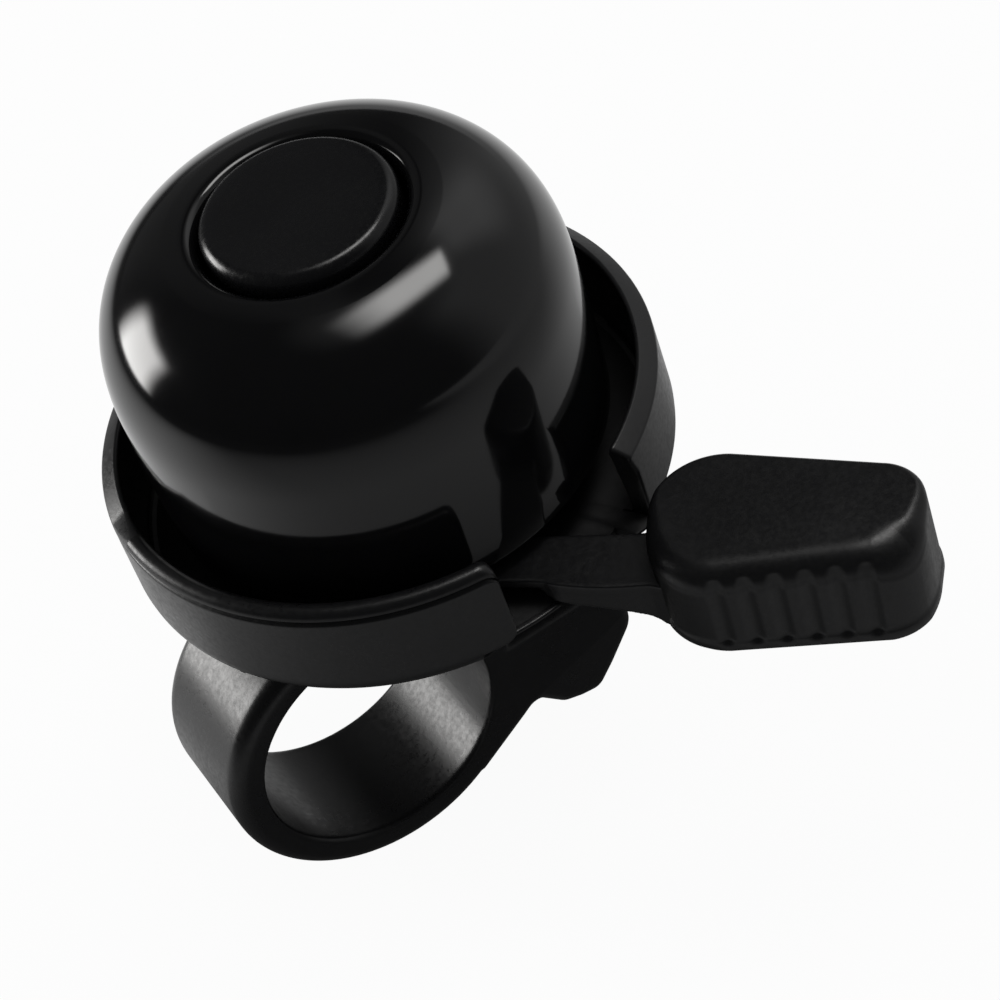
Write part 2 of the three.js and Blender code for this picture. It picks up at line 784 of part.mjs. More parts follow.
const padRound = [0, 30, 60, 90].map((angle) => ({
  points: offset(padOutline, -padEdge * (1 - Math.cos(rad(angle)))),
  z: padTop - padEdge * (1 - Math.sin(rad(angle))),
}));
const padOutside = loft([
  { points: offset(padOutline, padFlange), z: padBottom },
  { points: offset(padOutline, padFlange), z: padBottom + padFlangeHeight },
  { points: offset(padOutline, padFlange * edgeShare), z: padBottom + padFlangeHeight + padFlange },
  ...padRound,
]);
const padInside = loft([
  { points: offset(padOutline, -padWall), z: padBottom - overrun },
  { points: offset(padOutline, -padWall), z: padTop - padWall },
]);
const armOuter = padInner + padInnerCorner / 2;
const skinShape = [
  [0, -leverFront],
  [armStep + overrun, -leverFront],
  [armStep + overrun, leverBack],
  [0, leverBack],
];
const armShape = [
  [armStep, -leverFront],
  [armOuter, -leverFront],
  [armOuter, leverFront],
  [padInner - leverBack, leverBack],
  [armStep, leverBack],
];
const dropShape = [
  [armDropFront, -leverFront],
  [armOuter, -leverFront],
  [armOuter, leverBack],
  [armDropBack, leverBack],
];
const skinPlate = plate(skinShape, leverHigh - leverSkin, leverHigh);
const armPlate = plate(armShape, leverLow, leverHigh);
const dropPlate = plate(dropShape, leverLow - armDrop, leverLow + leverSkin);
const tailPlate = spun(plate([
  [0, -tailHalf],
  ...arc(tailLength, 0, tailHalf, -90, 90, 6),
  [0, tailHalf],
], leverLow, leverHigh), tailAngle);
const tailX = tailLength * Math.cos(rad(tailAngle));
const tailY = tailLength * Math.sin(rad(tailAngle));
const tailPeg = moved(ring(0, pegRadius, leverHigh - leverSkin, leverHigh + pegHeight), tailX, tailY, 0);
const springPegX = springPegReach * Math.cos(rad(tailAngle));
const springPegY = springPegReach * Math.sin(rad(tailAngle));
const springPeg = ring(0, springPegRadius, leverHigh - leverSkin, leverHigh + springPegHeight, 12);
let padSolid = padOutside;
for (let i = 0; i < ribCount; i += 1) {
  const rib = ring(0, ribRadius, padBottom - overrun, padTop - ribDrop, 10);
  const x = ribStart + i * ribPitch;
  const share = (x - padInner - padInnerCorner) / (padOuter - padOuterCorner - padInner - padInnerCorner);
  const side = padInnerHalf + (padOuterHalf - padInnerHalf) * share;
  padSolid = padSolid.subtract(moved(rib, x, -side, 0));
}
const leverSolid = padSolid
  .add(armPlate)
  .add(dropPlate)
  .subtract(padInside)
  .add(skinPlate)
  .add(tailPlate)
  .add(tailPeg)
  .add(moved(springPeg, springPegX, springPegY, 0))
  .add(ring(0, leverHubRadius, leverLow, leverHigh, 32))
  .add(ring(0, leverNeckRadius, leverLow, neckTop))
  .subtract(ring(0, pivotRadius + runGap, leverLow - overrun, neckTop + overrun));
place(arm, 'thumb_lever', leverSolid, satin());

// Pivot screws: head, shoulder and a thinner tail in the boss
function pivotScrew(shoulderRadius, headSize, seat, top) {
  const headSeat = top + runGap;
  const headCrown = headSeat + pivotHeadHeight;
  const head = turned([
    [0, seat - pivotTailLength],
    [pivotTailRadius, seat - pivotTailLength],
    [pivotTailRadius, seat + seatGap],
    [shoulderRadius, seat + seatGap],
    [shoulderRadius, headSeat],
    [headSize, headSeat],
    [headSize, headCrown],
    [0, headCrown],
  ], smallSteps);
  const slot = plate([
    [-headSize * driveReachShare, -driveWidth / 2],
    [headSize * driveReachShare, -driveWidth / 2],
    [headSize * driveReachShare, driveWidth / 2],
    [-headSize * driveReachShare, driveWidth / 2],
  ], headCrown - pivotHeadHeight / 2, headCrown + overrun);
  return head.subtract(slot);
}

const thrustLow = neckTop + runGap;
const thrustHigh = thrustLow + thrustThickness;
const thrustWasher = ring(pivotRadius + seatGap, thrustRadius, thrustLow, thrustHigh);
place(bell, 'lever_thrust_washer', moved(thrustWasher, pivotX, pivotY, 0), nylon());

const leverScrew = moved(pivotScrew(pivotRadius, pivotHeadRadius, leverSeat, thrustHigh), pivotX, pivotY, 0);
place(bell, 'lever_pivot_screw', leverScrew, steel());

// Lever return spring round the hub's neck, from a peg on the tail to the centre post
const leverSpringGroup = new THREE.Group();
leverSpringGroup.position.set(pivotX, pivotY, leverHigh + runGap + leverWire / 2);
bell.add(leverSpringGroup);
const leverSide = leverWire / 2 + runGap;
const leverFootAim = legDirection(
  springPegReach * Math.cos(rad(tailDirection)),
  springPegReach * Math.sin(rad(tailDirection)),
  -leverCoilRadius,
  -springPegRadius - leverSide,
);
const leverHeadAim = legDirection(-pivotX, -pivotY, leverCoilRadius, postRadius + leverSide);
const leverSpringSize = {
  radius: leverCoilRadius,
  pitch: leverCoilPitch,
  turns: leverCoilTurns,
  footLeg: leverFootLeg,
  headLeg: leverOffset + leverLegOver,
};
const leverSpringPlaces = springPlaces(leverSpringSize, leverFootAim, leverHeadAim, 1);
place(leverSpringGroup, 'lever_spring', wire(leverSpringPlaces, leverWire), steel());
console.log('lever spring room between turns', turnRoom(leverSpringPlaces, leverWire).toFixed(3));

// Hammer arm on its own pin, with a steel striker at its end
const hammer = new THREE.Group();
hammer.position.set(hammerPivotX, hammerPivotY, 0);
hammer.rotation.z = rad(hammerAngle);
bell.add(hammer);
const hammerBar = plate([
  [0, -hammerHalf],
  [hammerReach, -hammerHalf],
  [hammerReach, hammerHalf],
  [0, hammerHalf],
], hammerLow, hammerHigh);
const hammerPegSide = -hammerCoilRadius + hammerWire / 2 + runGap + hammerPegRadius;
const hammerPeg = ring(0, hammerPegRadius, hammerLow + hammerThickness / 2, hammerHigh + hammerPegHeight, 12);
const strikerHole = ring(0, strikerNeckRadius + threadGap, hammerLow - overrun, hammerHigh + overrun);
const hammerSolid = hammerBar
  .add(moved(hammerPeg, hammerPegReach, hammerPegSide, 0))
  .add(ring(0, hammerHubRadius, hammerLow, hammerHigh))
  .add(moved(ring(0, hammerEyeRadius, hammerLow, hammerHigh), hammerReach, 0, 0))
  .subtract(ring(0, hammerPinRadius + runGap, hammerLow - overrun, hammerHigh + overrun))
  .subtract(moved(strikerHole, hammerReach, 0, 0));
place(hammer, 'hammer_arm', hammerSolid, satin());

const strikerLow = hammerHigh + seatGap;
const striker = turned([
  [0, hammerLow + seatGap],
  [strikerNeckRadius, hammerLow + seatGap],
  [strikerNeckRadius, strikerLow],
  [strikerRadius, strikerLow],
  [strikerRadius, strikerLow + strikerHeight],
  [0, strikerLow + strikerHeight],
], smallSteps);
place(hammer, 'striker', moved(striker, hammerReach, 0, 0), steel());

const hammerCoilLow = hammerHigh + runGap + hammerWire / 2;
const hammerCoilTop = hammerCoilLow + hammerCoilPitch * (hammerCoilTurns + 1) + hammerWire / 2;
const hammerPin = pivotScrew(hammerPinRadius, hammerPinHeadRadius, hammerSeat, hammerCoilTop);
place(bell, 'hammer_pin', moved(hammerPin, hammerPivotX, hammerPivotY, 0), steel());

const hammerSpringGroup = new THREE.Group();
hammerSpringGroup.position.set(hammerPivotX, hammerPivotY, hammerCoilLow);
bell.add(hammerSpringGroup);
const hammerSide = hammerWire / 2 + runGap;
const hammerHeadAim = legDirection(
  -hammerPivotX,
  -hammerPivotY,
  -hammerCoilRadius,
  -postRadius - hammerSide,
);
const hammerSpringSize = {
  radius: hammerCoilRadius,
  pitch: hammerCoilPitch,
  turns: hammerCoilTurns,
  footLeg: hammerFootLeg,
  headLeg: hammerPivotReach,
};
const hammerSpringPlaces = springPlaces(hammerSpringSize, hammerAngle, hammerHeadAim, -1);
place(hammerSpringGroup, 'hammer_spring', wire(hammerSpringPlaces, hammerWire), steel());
console.log('hammer spring room between turns', turnRoom(hammerSpringPlaces, hammerWire).toFixed(3));

// Strap: the lower jaw, hinged at the saddle's left and screwed up at the lug
const neckSpan = Math.acos(strapRadius / Math.hypot(lugNeckX, lugNeckDrop));
const flareStart = -Math.atan2(lugNeckDrop, lugNeckX) - neckSpan;
const lugOutline = [
  [0, 0],
  [strapRadius * Math.cos(flareStart), strapRadius * Math.sin(flareStart)],
  [lugNeckX, -lugNeckDrop],
  [lugHeelX, -lugHeelDrop],
  [(lugHeelX + lugToeX) / 2, -(lugDepth + lugHeelDrop) / 2 - lugSwell],
  [lugToeX, -lugDepth],
  [lugTipX, -lugTipDrop],
  [lugOuter, -lugWaist],
  [lugOuter, partingHeight + 2 * strapEdge],
  [0, partingHeight + 2 * strapEdge],
];
const aboveParting = [
  [0, partingHeight],
  [2 * lugOuter, partingHeight],
  [2 * lugOuter, 2 * lugOuter],
  [2 * lugOuter * Math.cos(rad(hingeAngle)), 2 * lugOuter * Math.sin(rad(hingeAngle))],
  [0, 0],
];
const disc = barwise(strapRadius, 0, 0, -strapWidth / 2, strapWidth / 2, roundSteps);
const outerEdge = toSolid(toGeometry(turned([
  [0, -strapWidth / 2],
  [strapRadius - strapEdge, -strapWidth / 2],
  [strapRadius - strapEdge * edgeShare, -strapWidth / 2 + strapEdge * edgeShare],
  [strapRadius, -strapWidth / 2 + strapEdge],
  [strapRadius, strapWidth / 2 - strapEdge],
  [strapRadius - strapEdge * edgeShare, strapWidth / 2 - strapEdge * edgeShare],
  [strapRadius - strapEdge, strapWidth / 2],
  [0, strapWidth / 2],
])).rotateX(-Math.PI / 2));
const middleWidth = knuckleWidth + 2 * runGap;
const middleStart = hingeAngle - hingeRoomAngle;
const middleFan = [[0, 0], ...arc(0, 0, 2 * strapRadius, middleStart, hingeAngle + knuckleRoomAngle, 2)];
const middleRoom = barwise(knuckleRoom, hingeX, hingeZ, -middleWidth / 2, middleWidth / 2)
  .add(block(middleFan, middleWidth));
const endKnuckles = barwise(knuckleRadius, hingeX, hingeZ, knuckleWidth / 2 + runGap, strapWidth / 2)
  .add(barwise(knuckleRadius, hingeX, hingeZ, -strapWidth / 2, -knuckleWidth / 2 - runGap));
const headRoom = moved(ring(0, washerRadius + clampRoom, -2 * lugDepth, -clampSeat), screwX, 0, 0);
const lugBore = ring(0, threadRadius + clampHoleSlack, -lugDepth, partingHeight + overrun);
const lugHole = moved(lugBore, screwX, 0, 0);
const strapSolid = outerEdge
  .intersect(disc)
  .add(block(lugOutline, strapWidth, strapEdge))
  .subtract(block(aboveParting, strapWidth + 2 * overrun))
  .add(endKnuckles)
  .subtract(middleRoom)
  .subtract(barwise(boreRadius, 0, 0, -far, far, 48))
  .subtract(pinHole)
  .subtract(headRoom)
  .subtract(lugHole);
place(root, 'clamp_strap', strapSolid, satin());

const pinLength = strapWidth - 2 * seatGap;
const hingePin = barwise(hingePinRadius, hingeX, hingeZ, -pinLength / 2, pinLength / 2);
place(root, 'strap_hinge_pin', hingePin, steel());

// Clamp screw from below, its washer and the nut held in the ear
const clampSide = new THREE.Group();
clampSide.position.set(screwX, 0, 0);
root.add(clampSide);
const washerTop = -clampSeat - seatGap;
const washerLow = washerTop - washerThickness;
const clampHeadTop = washerLow - seatGap;
const clampWasher = ring(threadRadius + washerHoleSlack, washerRadius, washerLow, washerTop);
place(clampSide, 'clamp_washer', clampWasher, steel());

const clampHeadLow = clampHeadTop - clampHeadHeight;
const clampScrew = turned([
  [0, clampHeadLow],
  [clampHeadRadius * headRoundShare, clampHeadLow],
  [clampHeadRadius, clampHeadLow + clampHeadHeight / 2],
  [clampHeadRadius, clampHeadTop],
  [threadRadius, clampHeadTop],
  [threadRadius, clampHeadTop + clampScrewLength],
  [0, clampHeadTop + clampScrewLength],
], smallSteps);
const drive = toSolid(toGeometry(crossRecess(clampHeadRadius, 0)).rotateX(Math.PI));
place(clampSide, 'clamp_screw', clampScrew.subtract(moved(drive, 0, 0, clampHeadLow)), steel());

const nut = plate(hexagon(nutFlats), nutHeight, nutHeight + nutThickness)
  .subtract(ring(0, threadRadius + threadGap, nutHeight - overrun, nutHeight + nutThickness + overrun));
place(clampSide, 'clamp_nut', nut, steel());

export default root;
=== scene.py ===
import math

import bpy
import numpy as np
from mathutils import Matrix, Vector


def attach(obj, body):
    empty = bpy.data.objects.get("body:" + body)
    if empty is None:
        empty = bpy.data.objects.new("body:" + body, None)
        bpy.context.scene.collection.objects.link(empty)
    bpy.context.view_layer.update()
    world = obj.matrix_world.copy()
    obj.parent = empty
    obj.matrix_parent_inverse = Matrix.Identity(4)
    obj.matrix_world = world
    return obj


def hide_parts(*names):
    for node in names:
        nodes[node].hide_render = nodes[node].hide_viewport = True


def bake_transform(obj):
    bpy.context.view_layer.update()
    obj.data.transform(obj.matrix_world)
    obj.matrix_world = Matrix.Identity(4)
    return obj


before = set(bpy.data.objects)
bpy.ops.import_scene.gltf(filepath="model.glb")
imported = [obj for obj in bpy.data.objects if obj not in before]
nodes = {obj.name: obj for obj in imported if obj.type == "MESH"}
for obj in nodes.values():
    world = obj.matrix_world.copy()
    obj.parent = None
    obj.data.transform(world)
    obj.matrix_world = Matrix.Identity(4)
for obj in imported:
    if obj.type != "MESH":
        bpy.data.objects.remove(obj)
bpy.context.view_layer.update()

MM = 0.001

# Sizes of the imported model, in millimetres and degrees, in the bar's frame.
BELL = (12.4, 0.0, 25.4)
LEVER_ANGLE = -41.0
LEVER_OFFSET = 12.4
LEVER_SETBACK = 1.0
TAIL_ANGLE = 138.9
TAIL_LENGTH = 9.8
SPRING_PEG_AT = 5.3
HAMMER_PIVOT = (-9.0, 11.5)
HINGE_REACH = 15.0
HINGE_ANGLE = 95.0
KNUCKLE_R = 2.5
KNUCKLE_ROOM = 2.8
PIN_HOLE = 1.35
SCREW_X = 19.6
NUT_ROOM = 7.4
EAR_END = 25.6
BORE = 11.25
STRAP_RADIUS = 14.35
STRAP_WIDTH = 13.4


def polar(radius, turn):
    return radius * math.cos(turn), radius * math.sin(turn)


def moved(x, y, z):
    return Matrix.Translation(Vector((x, y, z)))


def turned(degrees):
    return Matrix.Rotation(math.radians(degrees), 4, "Z")


along = polar(1.0, math.radians(LEVER_ANGLE))
across = (-along[1], along[0])
LEVER_PIVOT = tuple(-across[k] * LEVER_OFFSET - along[k] * LEVER_SETBACK for k in (0, 1))
hinge_x, hinge_z = polar(HINGE_REACH, math.radians(HINGE_ANGLE))
to_bell = moved(*BELL)
to_lever = to_bell @ moved(*LEVER_PIVOT, 0) @ turned(LEVER_ANGLE)

# The camera at the photograph's angle: its place in millimetres, and its directions to the right, up and back.
CAMERA_PLACE = (-40.95, -210.06, 237.78)
CAMERA_AXES = ((0.82957, -0.50295, -0.24259), (0.52407, 0.55129, 0.64918), (-0.19277, -0.66568, 0.72091))
SENSOR, LENS, SHIFT = 36.0, 129.6, -0.003


def place_object(name, data):
    obj = bpy.data.objects.new(name, data)
    bpy.context.scene.collection.objects.link(obj)
    return obj


def make_camera():
    data = bpy.data.cameras.new("camera")
    data.sensor_width = SENSOR
    data.lens = LENS
    data.shift_x = SHIFT
    data.clip_start = 0.01
    data.clip_end = 50.0
    camera = place_object("camera", data)
    camera.matrix_world = Matrix.Translation(Vector(CAMERA_PLACE) * MM) @ Matrix(CAMERA_AXES).transposed().to_4x4()
    bpy.context.scene.camera = camera


make_camera()


# Mesh tools, all in millimetres until the object is made. An edge sharper than CREASE degrees stays crisp.
CREASE = 38.0


def add_object(name, verts, faces, move=None, smooth_angle=CREASE):
    mesh = bpy.data.meshes.new(name)
    points = np.asarray(verts, dtype=float)
    if move is not None:
        turn = np.array(move)
        points = points @ turn[:3, :3].T + turn[:3, 3]
    mesh.from_pydata((points * MM).tolist(), [], [list(f) for f in faces])
    mesh.validate()
    mesh.update()
    obj = place_object(name, mesh)
    outward(obj)
    shade(obj, smooth_angle)
    return obj


def shade(obj, smooth_angle=CREASE):
    obj.data.shade_smooth()
    if smooth_angle < 180.0:
        obj.data.set_sharp_from_angle(angle=math.radians(smooth_angle))


def outward(obj):
    """Turns the mesh's faces outwards, so that cuts and joins see it as a solid."""
    mesh = obj.data
    mesh.calc_loop_triangles()
    places = np.empty(len(mesh.vertices) * 3)
    mesh.vertices.foreach_get("co", places)
    places = places.reshape(-1, 3)
    corners = np.empty(len(mesh.loop_triangles) * 3, dtype=np.int32)
    mesh.loop_triangles.foreach_get("vertices", corners)
    a, b, c = (places[corners.reshape(-1, 3)[:, k]] for k in range(3))
    if np.einsum("ij,ij->i", a, np.cross(b, c)).sum() < 0:
        mesh.flip_normals()
    return obj


def bake(obj):
    """Applies the object's modifiers to its mesh."""
    graph = bpy.context.evaluated_depsgraph_get()
    graph.update()
    made = bpy.data.meshes.new_from_object(obj.evaluated_get(graph))
    old = obj.data
    obj.modifiers.clear()
    obj.data = made
    made.name = obj.name
    bpy.data.meshes.remove(old)
    return obj


def cut(obj, *cutters, union=False):
    """Cuts the given objects away from obj, or joins them to it, and removes them."""
    outward(obj)
    for cutter in cutters:
        outward(cutter)
        mod = obj.modifiers.new("cut", "BOOLEAN")
        mod.operation = "UNION" if union else "DIFFERENCE"
        mod.solver = "EXACT"
        mod.object = cutter
        bake(obj)
        bpy.data.objects.remove(cutter)
    return obj


def join(name, *parts):
    """One mesh from several."""
    target = parts[0]
    with bpy.context.temp_override(active_object=target, selected_editable_objects=list(parts)):
        bpy.ops.object.join()
    target.name = name
    target.data.name = name
    return target


def soften(obj, voxel, passes, factor=0.5):
    """Melts overlapping solids into one skin with small fillets, as a moulding has."""
    mod = obj.modifiers.new("melt", "REMESH")
    mod.mode = "VOXEL"
    mod.voxel_size = voxel * MM
    mod.use_smooth_shade = True
    if passes:
        ease = obj.modifiers.new("ease", "SMOOTH")
        ease.factor = factor
        ease.iterations = passes
    bake(obj)
    shade(obj, 180.0)
    return obj


def arc(cx, cy, radius, start, end, steps):
    turn = np.radians(np.linspace(start, end, steps + 1))
    return [(cx + radius * math.cos(a), cy + radius * math.sin(a)) for a in turn]


def lathe(name, profile, steps=128, move=to_bell, smooth_angle=CREASE):
    """A closed profile of radius and height turned about Z. Points at radius 0 become the axis."""
    verts, rows = [], []
    for r, z in profile:
        if r < 1e-6:
            rows.append([len(verts)] * steps)
            verts.append((0.0, 0.0, z))
            continue
        rows.append(list(range(len(verts), len(verts) + steps)))
        for i in range(steps):
            a = 2 * math.pi * i / steps
            verts.append((*polar(r, a), z))
    closed = profile[0][0] > 1e-6
    faces = []
    count = len(profile)
    for k in range(count if closed else count - 1):
        low, high = rows[k], rows[(k + 1) % count]
        for i in range(steps):
            j = (i + 1) % steps
            quad = [low[i], low[j], high[j], high[i]]
            quad = [v for n, v in enumerate(quad) if v not in quad[:n]]
            if len(quad) > 2:
                faces.append(quad)
    return add_object(name, verts, faces, move, smooth_angle)


def rounded(points, radii, steps=5):
    """A closed or open outline with its corners rounded. A radius of 0 keeps the corner."""
    out = []
    count = len(points)
    for i, (p, radius) in enumerate(zip(points, radii)):
        if radius <= 0:
            out.append(tuple(p))
            continue
        p = np.array(p, float)
        a = np.array(points[i - 1], float) - p
        b = np.array(points[(i + 1) % count], float) - p
        la, lb = np.linalg.norm(a), np.linalg.norm(b)
        a, b = a / la, b / lb
        half = math.acos(max(-1.0, min(1.0, float(a @ b)))) / 2
        back = min(radius / math.tan(half), 0.49 * min(la, lb))
        radius = back * math.tan(half)
        start, end = p + a * back, p + b * back
        middle = p + (a + b) / np.linalg.norm(a + b) * (radius / math.sin(half))
        for k in range(steps + 1):
            t = k / steps
            q = start * (1 - t) + end * t - middle
            out.append(tuple(middle + q / np.linalg.norm(q) * radius))
    return out


def inset(points, amount):
    """An outline moved in along its own normals. The outline runs anticlockwise."""
    p = np.array(points, float)
    ahead, behind = np.roll(p, -1, axis=0), np.roll(p, 1, axis=0)
    side = ahead - behind
    side /= np.maximum(np.linalg.norm(side, axis=1, keepdims=True), 1e-9)
    return p - amount * np.stack([side[:, 1], -side[:, 0]], axis=1)


def loft(name, rings, move=None, smooth_angle=CREASE):
    """A skin through rings of equal count, closed at both ends."""
    rings = [np.asarray(r, float) for r in rings]
    count = len(rings[0])
    verts = np.concatenate(rings)
    faces = []
    for k in range(len(rings) - 1):
        for i in range(count):
            j = (i + 1) % count
            faces.append([k * count + i, k * count + j, (k + 1) * count + j, (k + 1) * count + i])
    faces.append(list(range(count - 1, -1, -1)))
    last = (len(rings) - 1) * count
    faces.append([last + i for i in range(count)])
    return add_object(name, verts, faces, move, smooth_angle)


def level(points, z):
    p = np.asarray(points, float)
    return np.column_stack([p, np.full(len(p), z)])


def slab(name, points, low, high, edge, move=None, smooth_angle=CREASE, steps=4):
    """An outline in X and Y made into a plate with rounded rims."""
    rings = []
    for k in range(steps + 1):
        a = math.pi / 2 * k / steps
        rings.append(level(inset(points, edge * (1 - math.sin(a))), low + edge * (1 - math.cos(a))))
    for k in range(steps + 1):
        a = math.pi / 2 * k / steps
        rings.append(level(inset(points, edge * (1 - math.cos(a))), high - edge * (1 - math.sin(a))))
    return loft(name, rings, move, smooth_angle)


# An outline's X and Y become X and Z, and heights run along the bar. The first one mirrors, the second doesn't.
upright = Matrix(((1, 0, 0, 0), (0, 0, 1, 0), (0, 1, 0, 0), (0, 0, 0, 1)))
sideways = Matrix(((1, 0, 0, 0), (0, 0, 1, 0), (0, -1, 0, 0), (0, 0, 0, 1)))


def side_slab(name, points, half, edge, steps=4):
    """An outline in X and Z made into a block centred on the bar's length."""
    return slab(name, points, -half, half, edge, upright, steps=steps)


def drum(name, radius, low, high, steps, move):
    """A plain drum with crisp edges."""
    return lathe(name, [(0, low), (radius, low), (radius, high), (0, high)], steps, move)


def bar_drum(name, radius, x, z, low, high, steps=64):
    """A plain drum along the bar's direction."""
    return drum(name, radius, low, high, steps, moved(x, 0, z) @ sideways)


def knuckle_drum(name, low, high):
    """One knuckle of the strap's hinge, with rounded rims."""
    edge = 0.25
    profile = [
        (0, low), (KNUCKLE_R - edge, low), (KNUCKLE_R - edge * 0.3, low + edge * 0.3), (KNUCKLE_R, low + edge),
        (KNUCKLE_R, high - edge), (KNUCKLE_R - edge * 0.3, high - edge * 0.3), (KNUCKLE_R - edge, high), (0, high),
    ]
    return lathe(name, profile, 64, moved(hinge_x, 0, hinge_z) @ sideways)


def dress(obj, body, material, *replaced, slot_name=None):
    obj.data.materials.clear()
    obj.data.materials.append(material)
    for poly in obj.data.polygons:
        poly.material_index = 0
    if replaced:
        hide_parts(*replaced)
    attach(obj, body)
    return obj


# Materials.


def fresh_tree(owner, output):
    """Empties the node tree of a material, world or lamp, and gives it its output node."""
    owner.use_nodes = True
    tree = owner.node_tree
    tree.nodes.clear()
    return tree, tree.nodes.new(output)


def add_node(tree, kind, inputs, **settings):
    """A new node with its settings, and with each input set to a value or linked to a socket."""
    node = tree.nodes.new(kind)
    for key, value in settings.items():
        setattr(node, key, value)
    for key, value in inputs.items():
        if isinstance(value, bpy.types.NodeSocket):
            tree.links.new(value, node.inputs[key])
        else:
            node.inputs[key].default_value = value
    return node


class Graph:
    """A small hand for building the object's materials. It takes and gives sockets."""

    def __init__(self, name):
        self.material = bpy.data.materials.new(name)
        self.tree, out = fresh_tree(self.material, "ShaderNodeOutputMaterial")
        self.shader = add_node(self.tree, "ShaderNodeBsdfPrincipled", {})
        self.tree.links.new(self.shader.outputs["BSDF"], out.inputs["Surface"])
        self.place = add_node(self.tree, "ShaderNodeTexCoord", {}).outputs["Object"]

    def noise(self, scale, detail, rough=0.55, stretch=None):
        place = self.place
        if stretch is not None:
            place = add_node(self.tree, "ShaderNodeMapping", {"Vector": place, "Scale": stretch}).outputs["Vector"]
        return add_node(self.tree, "ShaderNodeTexNoise", {
            "Vector": place, "Scale": scale, "Detail": detail, "Roughness": rough,
        }).outputs["Fac"]

    def spread(self, source, given, wanted):
        """Maps one range of a number onto another."""
        return add_node(self.tree, "ShaderNodeMapRange", {
            "Value": source, "From Min": given[0], "From Max": given[1], "To Min": wanted[0], "To Max": wanted[1],
        }).outputs["Result"]

    def sum(self, a, b):
        return add_node(self.tree, "ShaderNodeMath", {0: a, 1: b}, operation="ADD").outputs[0]

    def tint(self, source, dark, light):
        mix = add_node(self.tree, "ShaderNodeMix", {
            "Factor": source, "A": (*dark, 1.0), "B": (*light, 1.0),
        }, data_type="RGBA")
        self.tree.links.new(mix.outputs["Result"], self.shader.inputs["Base Color"])

    def bump(self, height, strength, distance, under=None):
        inputs = {"Height": height, "Strength": strength, "Distance": distance}
        if under is not None:
            inputs["Normal"] = under
        return add_node(self.tree, "ShaderNodeBump", inputs).outputs["Normal"]

    def finish(self, roughness, normal, metallic=0.0, level=0.5):
        put = self.shader.inputs
        put["Metallic"].default_value = metallic
        put["IOR"].default_value = 1.5
        put["Specular IOR Level"].default_value = level
        self.tree.links.new(roughness, put["Roughness"])
        self.tree.links.new(normal, put["Normal"])
        return self.material


def gloss_paint():
    """Baked black gloss enamel on steel, with a faint orange peel, wiping haze and dust."""
    g = Graph("gloss_paint")
    cloud = g.noise(scale=70.0, detail=4.0)
    dust = g.noise(scale=2600.0, detail=2.0)
    peel = g.noise(scale=420.0, detail=2.0, rough=0.4)
    haze = g.spread(cloud, (0.35, 0.7), (0.07, 0.13))
    specks = g.spread(dust, (0.74, 0.8), (0.0, 0.12))
    g.tint(cloud, dark=(0.0016, 0.0016, 0.0018), light=(0.003, 0.003, 0.0032))
    skin = g.bump(peel, strength=0.05, distance=0.00006)
    fine = g.bump(dust, strength=0.015, distance=0.00002, under=skin)
    return g.finish(g.sum(haze, specks), fine)


def moulded_plastic(name, dark, light, rough, spread, grain, grain_scale, level):
    """Moulded black plastic: fine spark-eroded grain, cloudy sheen, a few rubbed scratches."""
    g = Graph(name)
    cloud = g.noise(scale=95.0, detail=5.0)
    pores = g.noise(scale=grain_scale, detail=2.0, rough=0.6)
    scratch = g.noise(scale=240.0, detail=3.0, rough=0.6, stretch=(1.0, 9.0, 1.0))
    sheen = g.spread(cloud, (0.3, 0.7), (rough - spread, rough + spread))
    speck = g.spread(pores, (0.35, 0.7), (-0.05, 0.06))
    rubbed = g.spread(scratch, (0.55, 0.8), (0.0, -0.03))
    g.tint(cloud, dark, light)
    skin = g.bump(pores, strength=grain, distance=0.00008)
    drift = g.bump(cloud, strength=0.06, distance=0.0002, under=skin)
    return g.finish(g.sum(g.sum(sheen, speck), rubbed), drift, level=level)


def bright_steel(name, tone, rough, stretch):
    """Plated or drawn steel, with fine lines along one direction where it is stretched."""
    g = Graph(name)
    cloud = g.noise(scale=160.0, detail=4.0)
    lines = g.noise(scale=700.0, detail=3.0, rough=0.6, stretch=stretch)
    sheen = g.spread(cloud, (0.3, 0.7), (rough - 0.06, rough + 0.1))
    streaks = g.spread(lines, (0.3, 0.7), (-0.05, 0.06))
    g.tint(cloud, dark=(tone * 0.86, tone * 0.87, tone * 0.88), light=(tone, tone, tone * 0.99))
    skin = g.bump(lines, strength=0.12, distance=0.00004)
    return g.finish(g.sum(sheen, streaks), skin, metallic=1.0)


def machined_brass():
    g = Graph("machined_brass")
    cloud = g.noise(scale=150.0, detail=4.0)
    lines = g.noise(scale=900.0, detail=3.0, rough=0.6, stretch=(1.0, 1.0, 9.0))
    rough = g.spread(lines, (0.3, 0.7), (0.22, 0.38))
    g.tint(cloud, dark=(0.55, 0.36, 0.12), light=(0.71, 0.5, 0.2))
    return g.finish(rough, g.bump(lines, strength=0.1, distance=0.00004), metallic=1.0)


def natural_nylon():
    g = Graph("natural_nylon")
    cloud = g.noise(scale=220.0, detail=3.0)
    pores = g.noise(scale=2600.0, detail=2.0)
    rough = g.spread(pores, (0.3, 0.7), (0.42, 0.58))
    g.tint(cloud, dark=(0.6, 0.57, 0.48), light=(0.72, 0.7, 0.62))
    return g.finish(rough, g.bump(pores, strength=0.08, distance=0.00005))


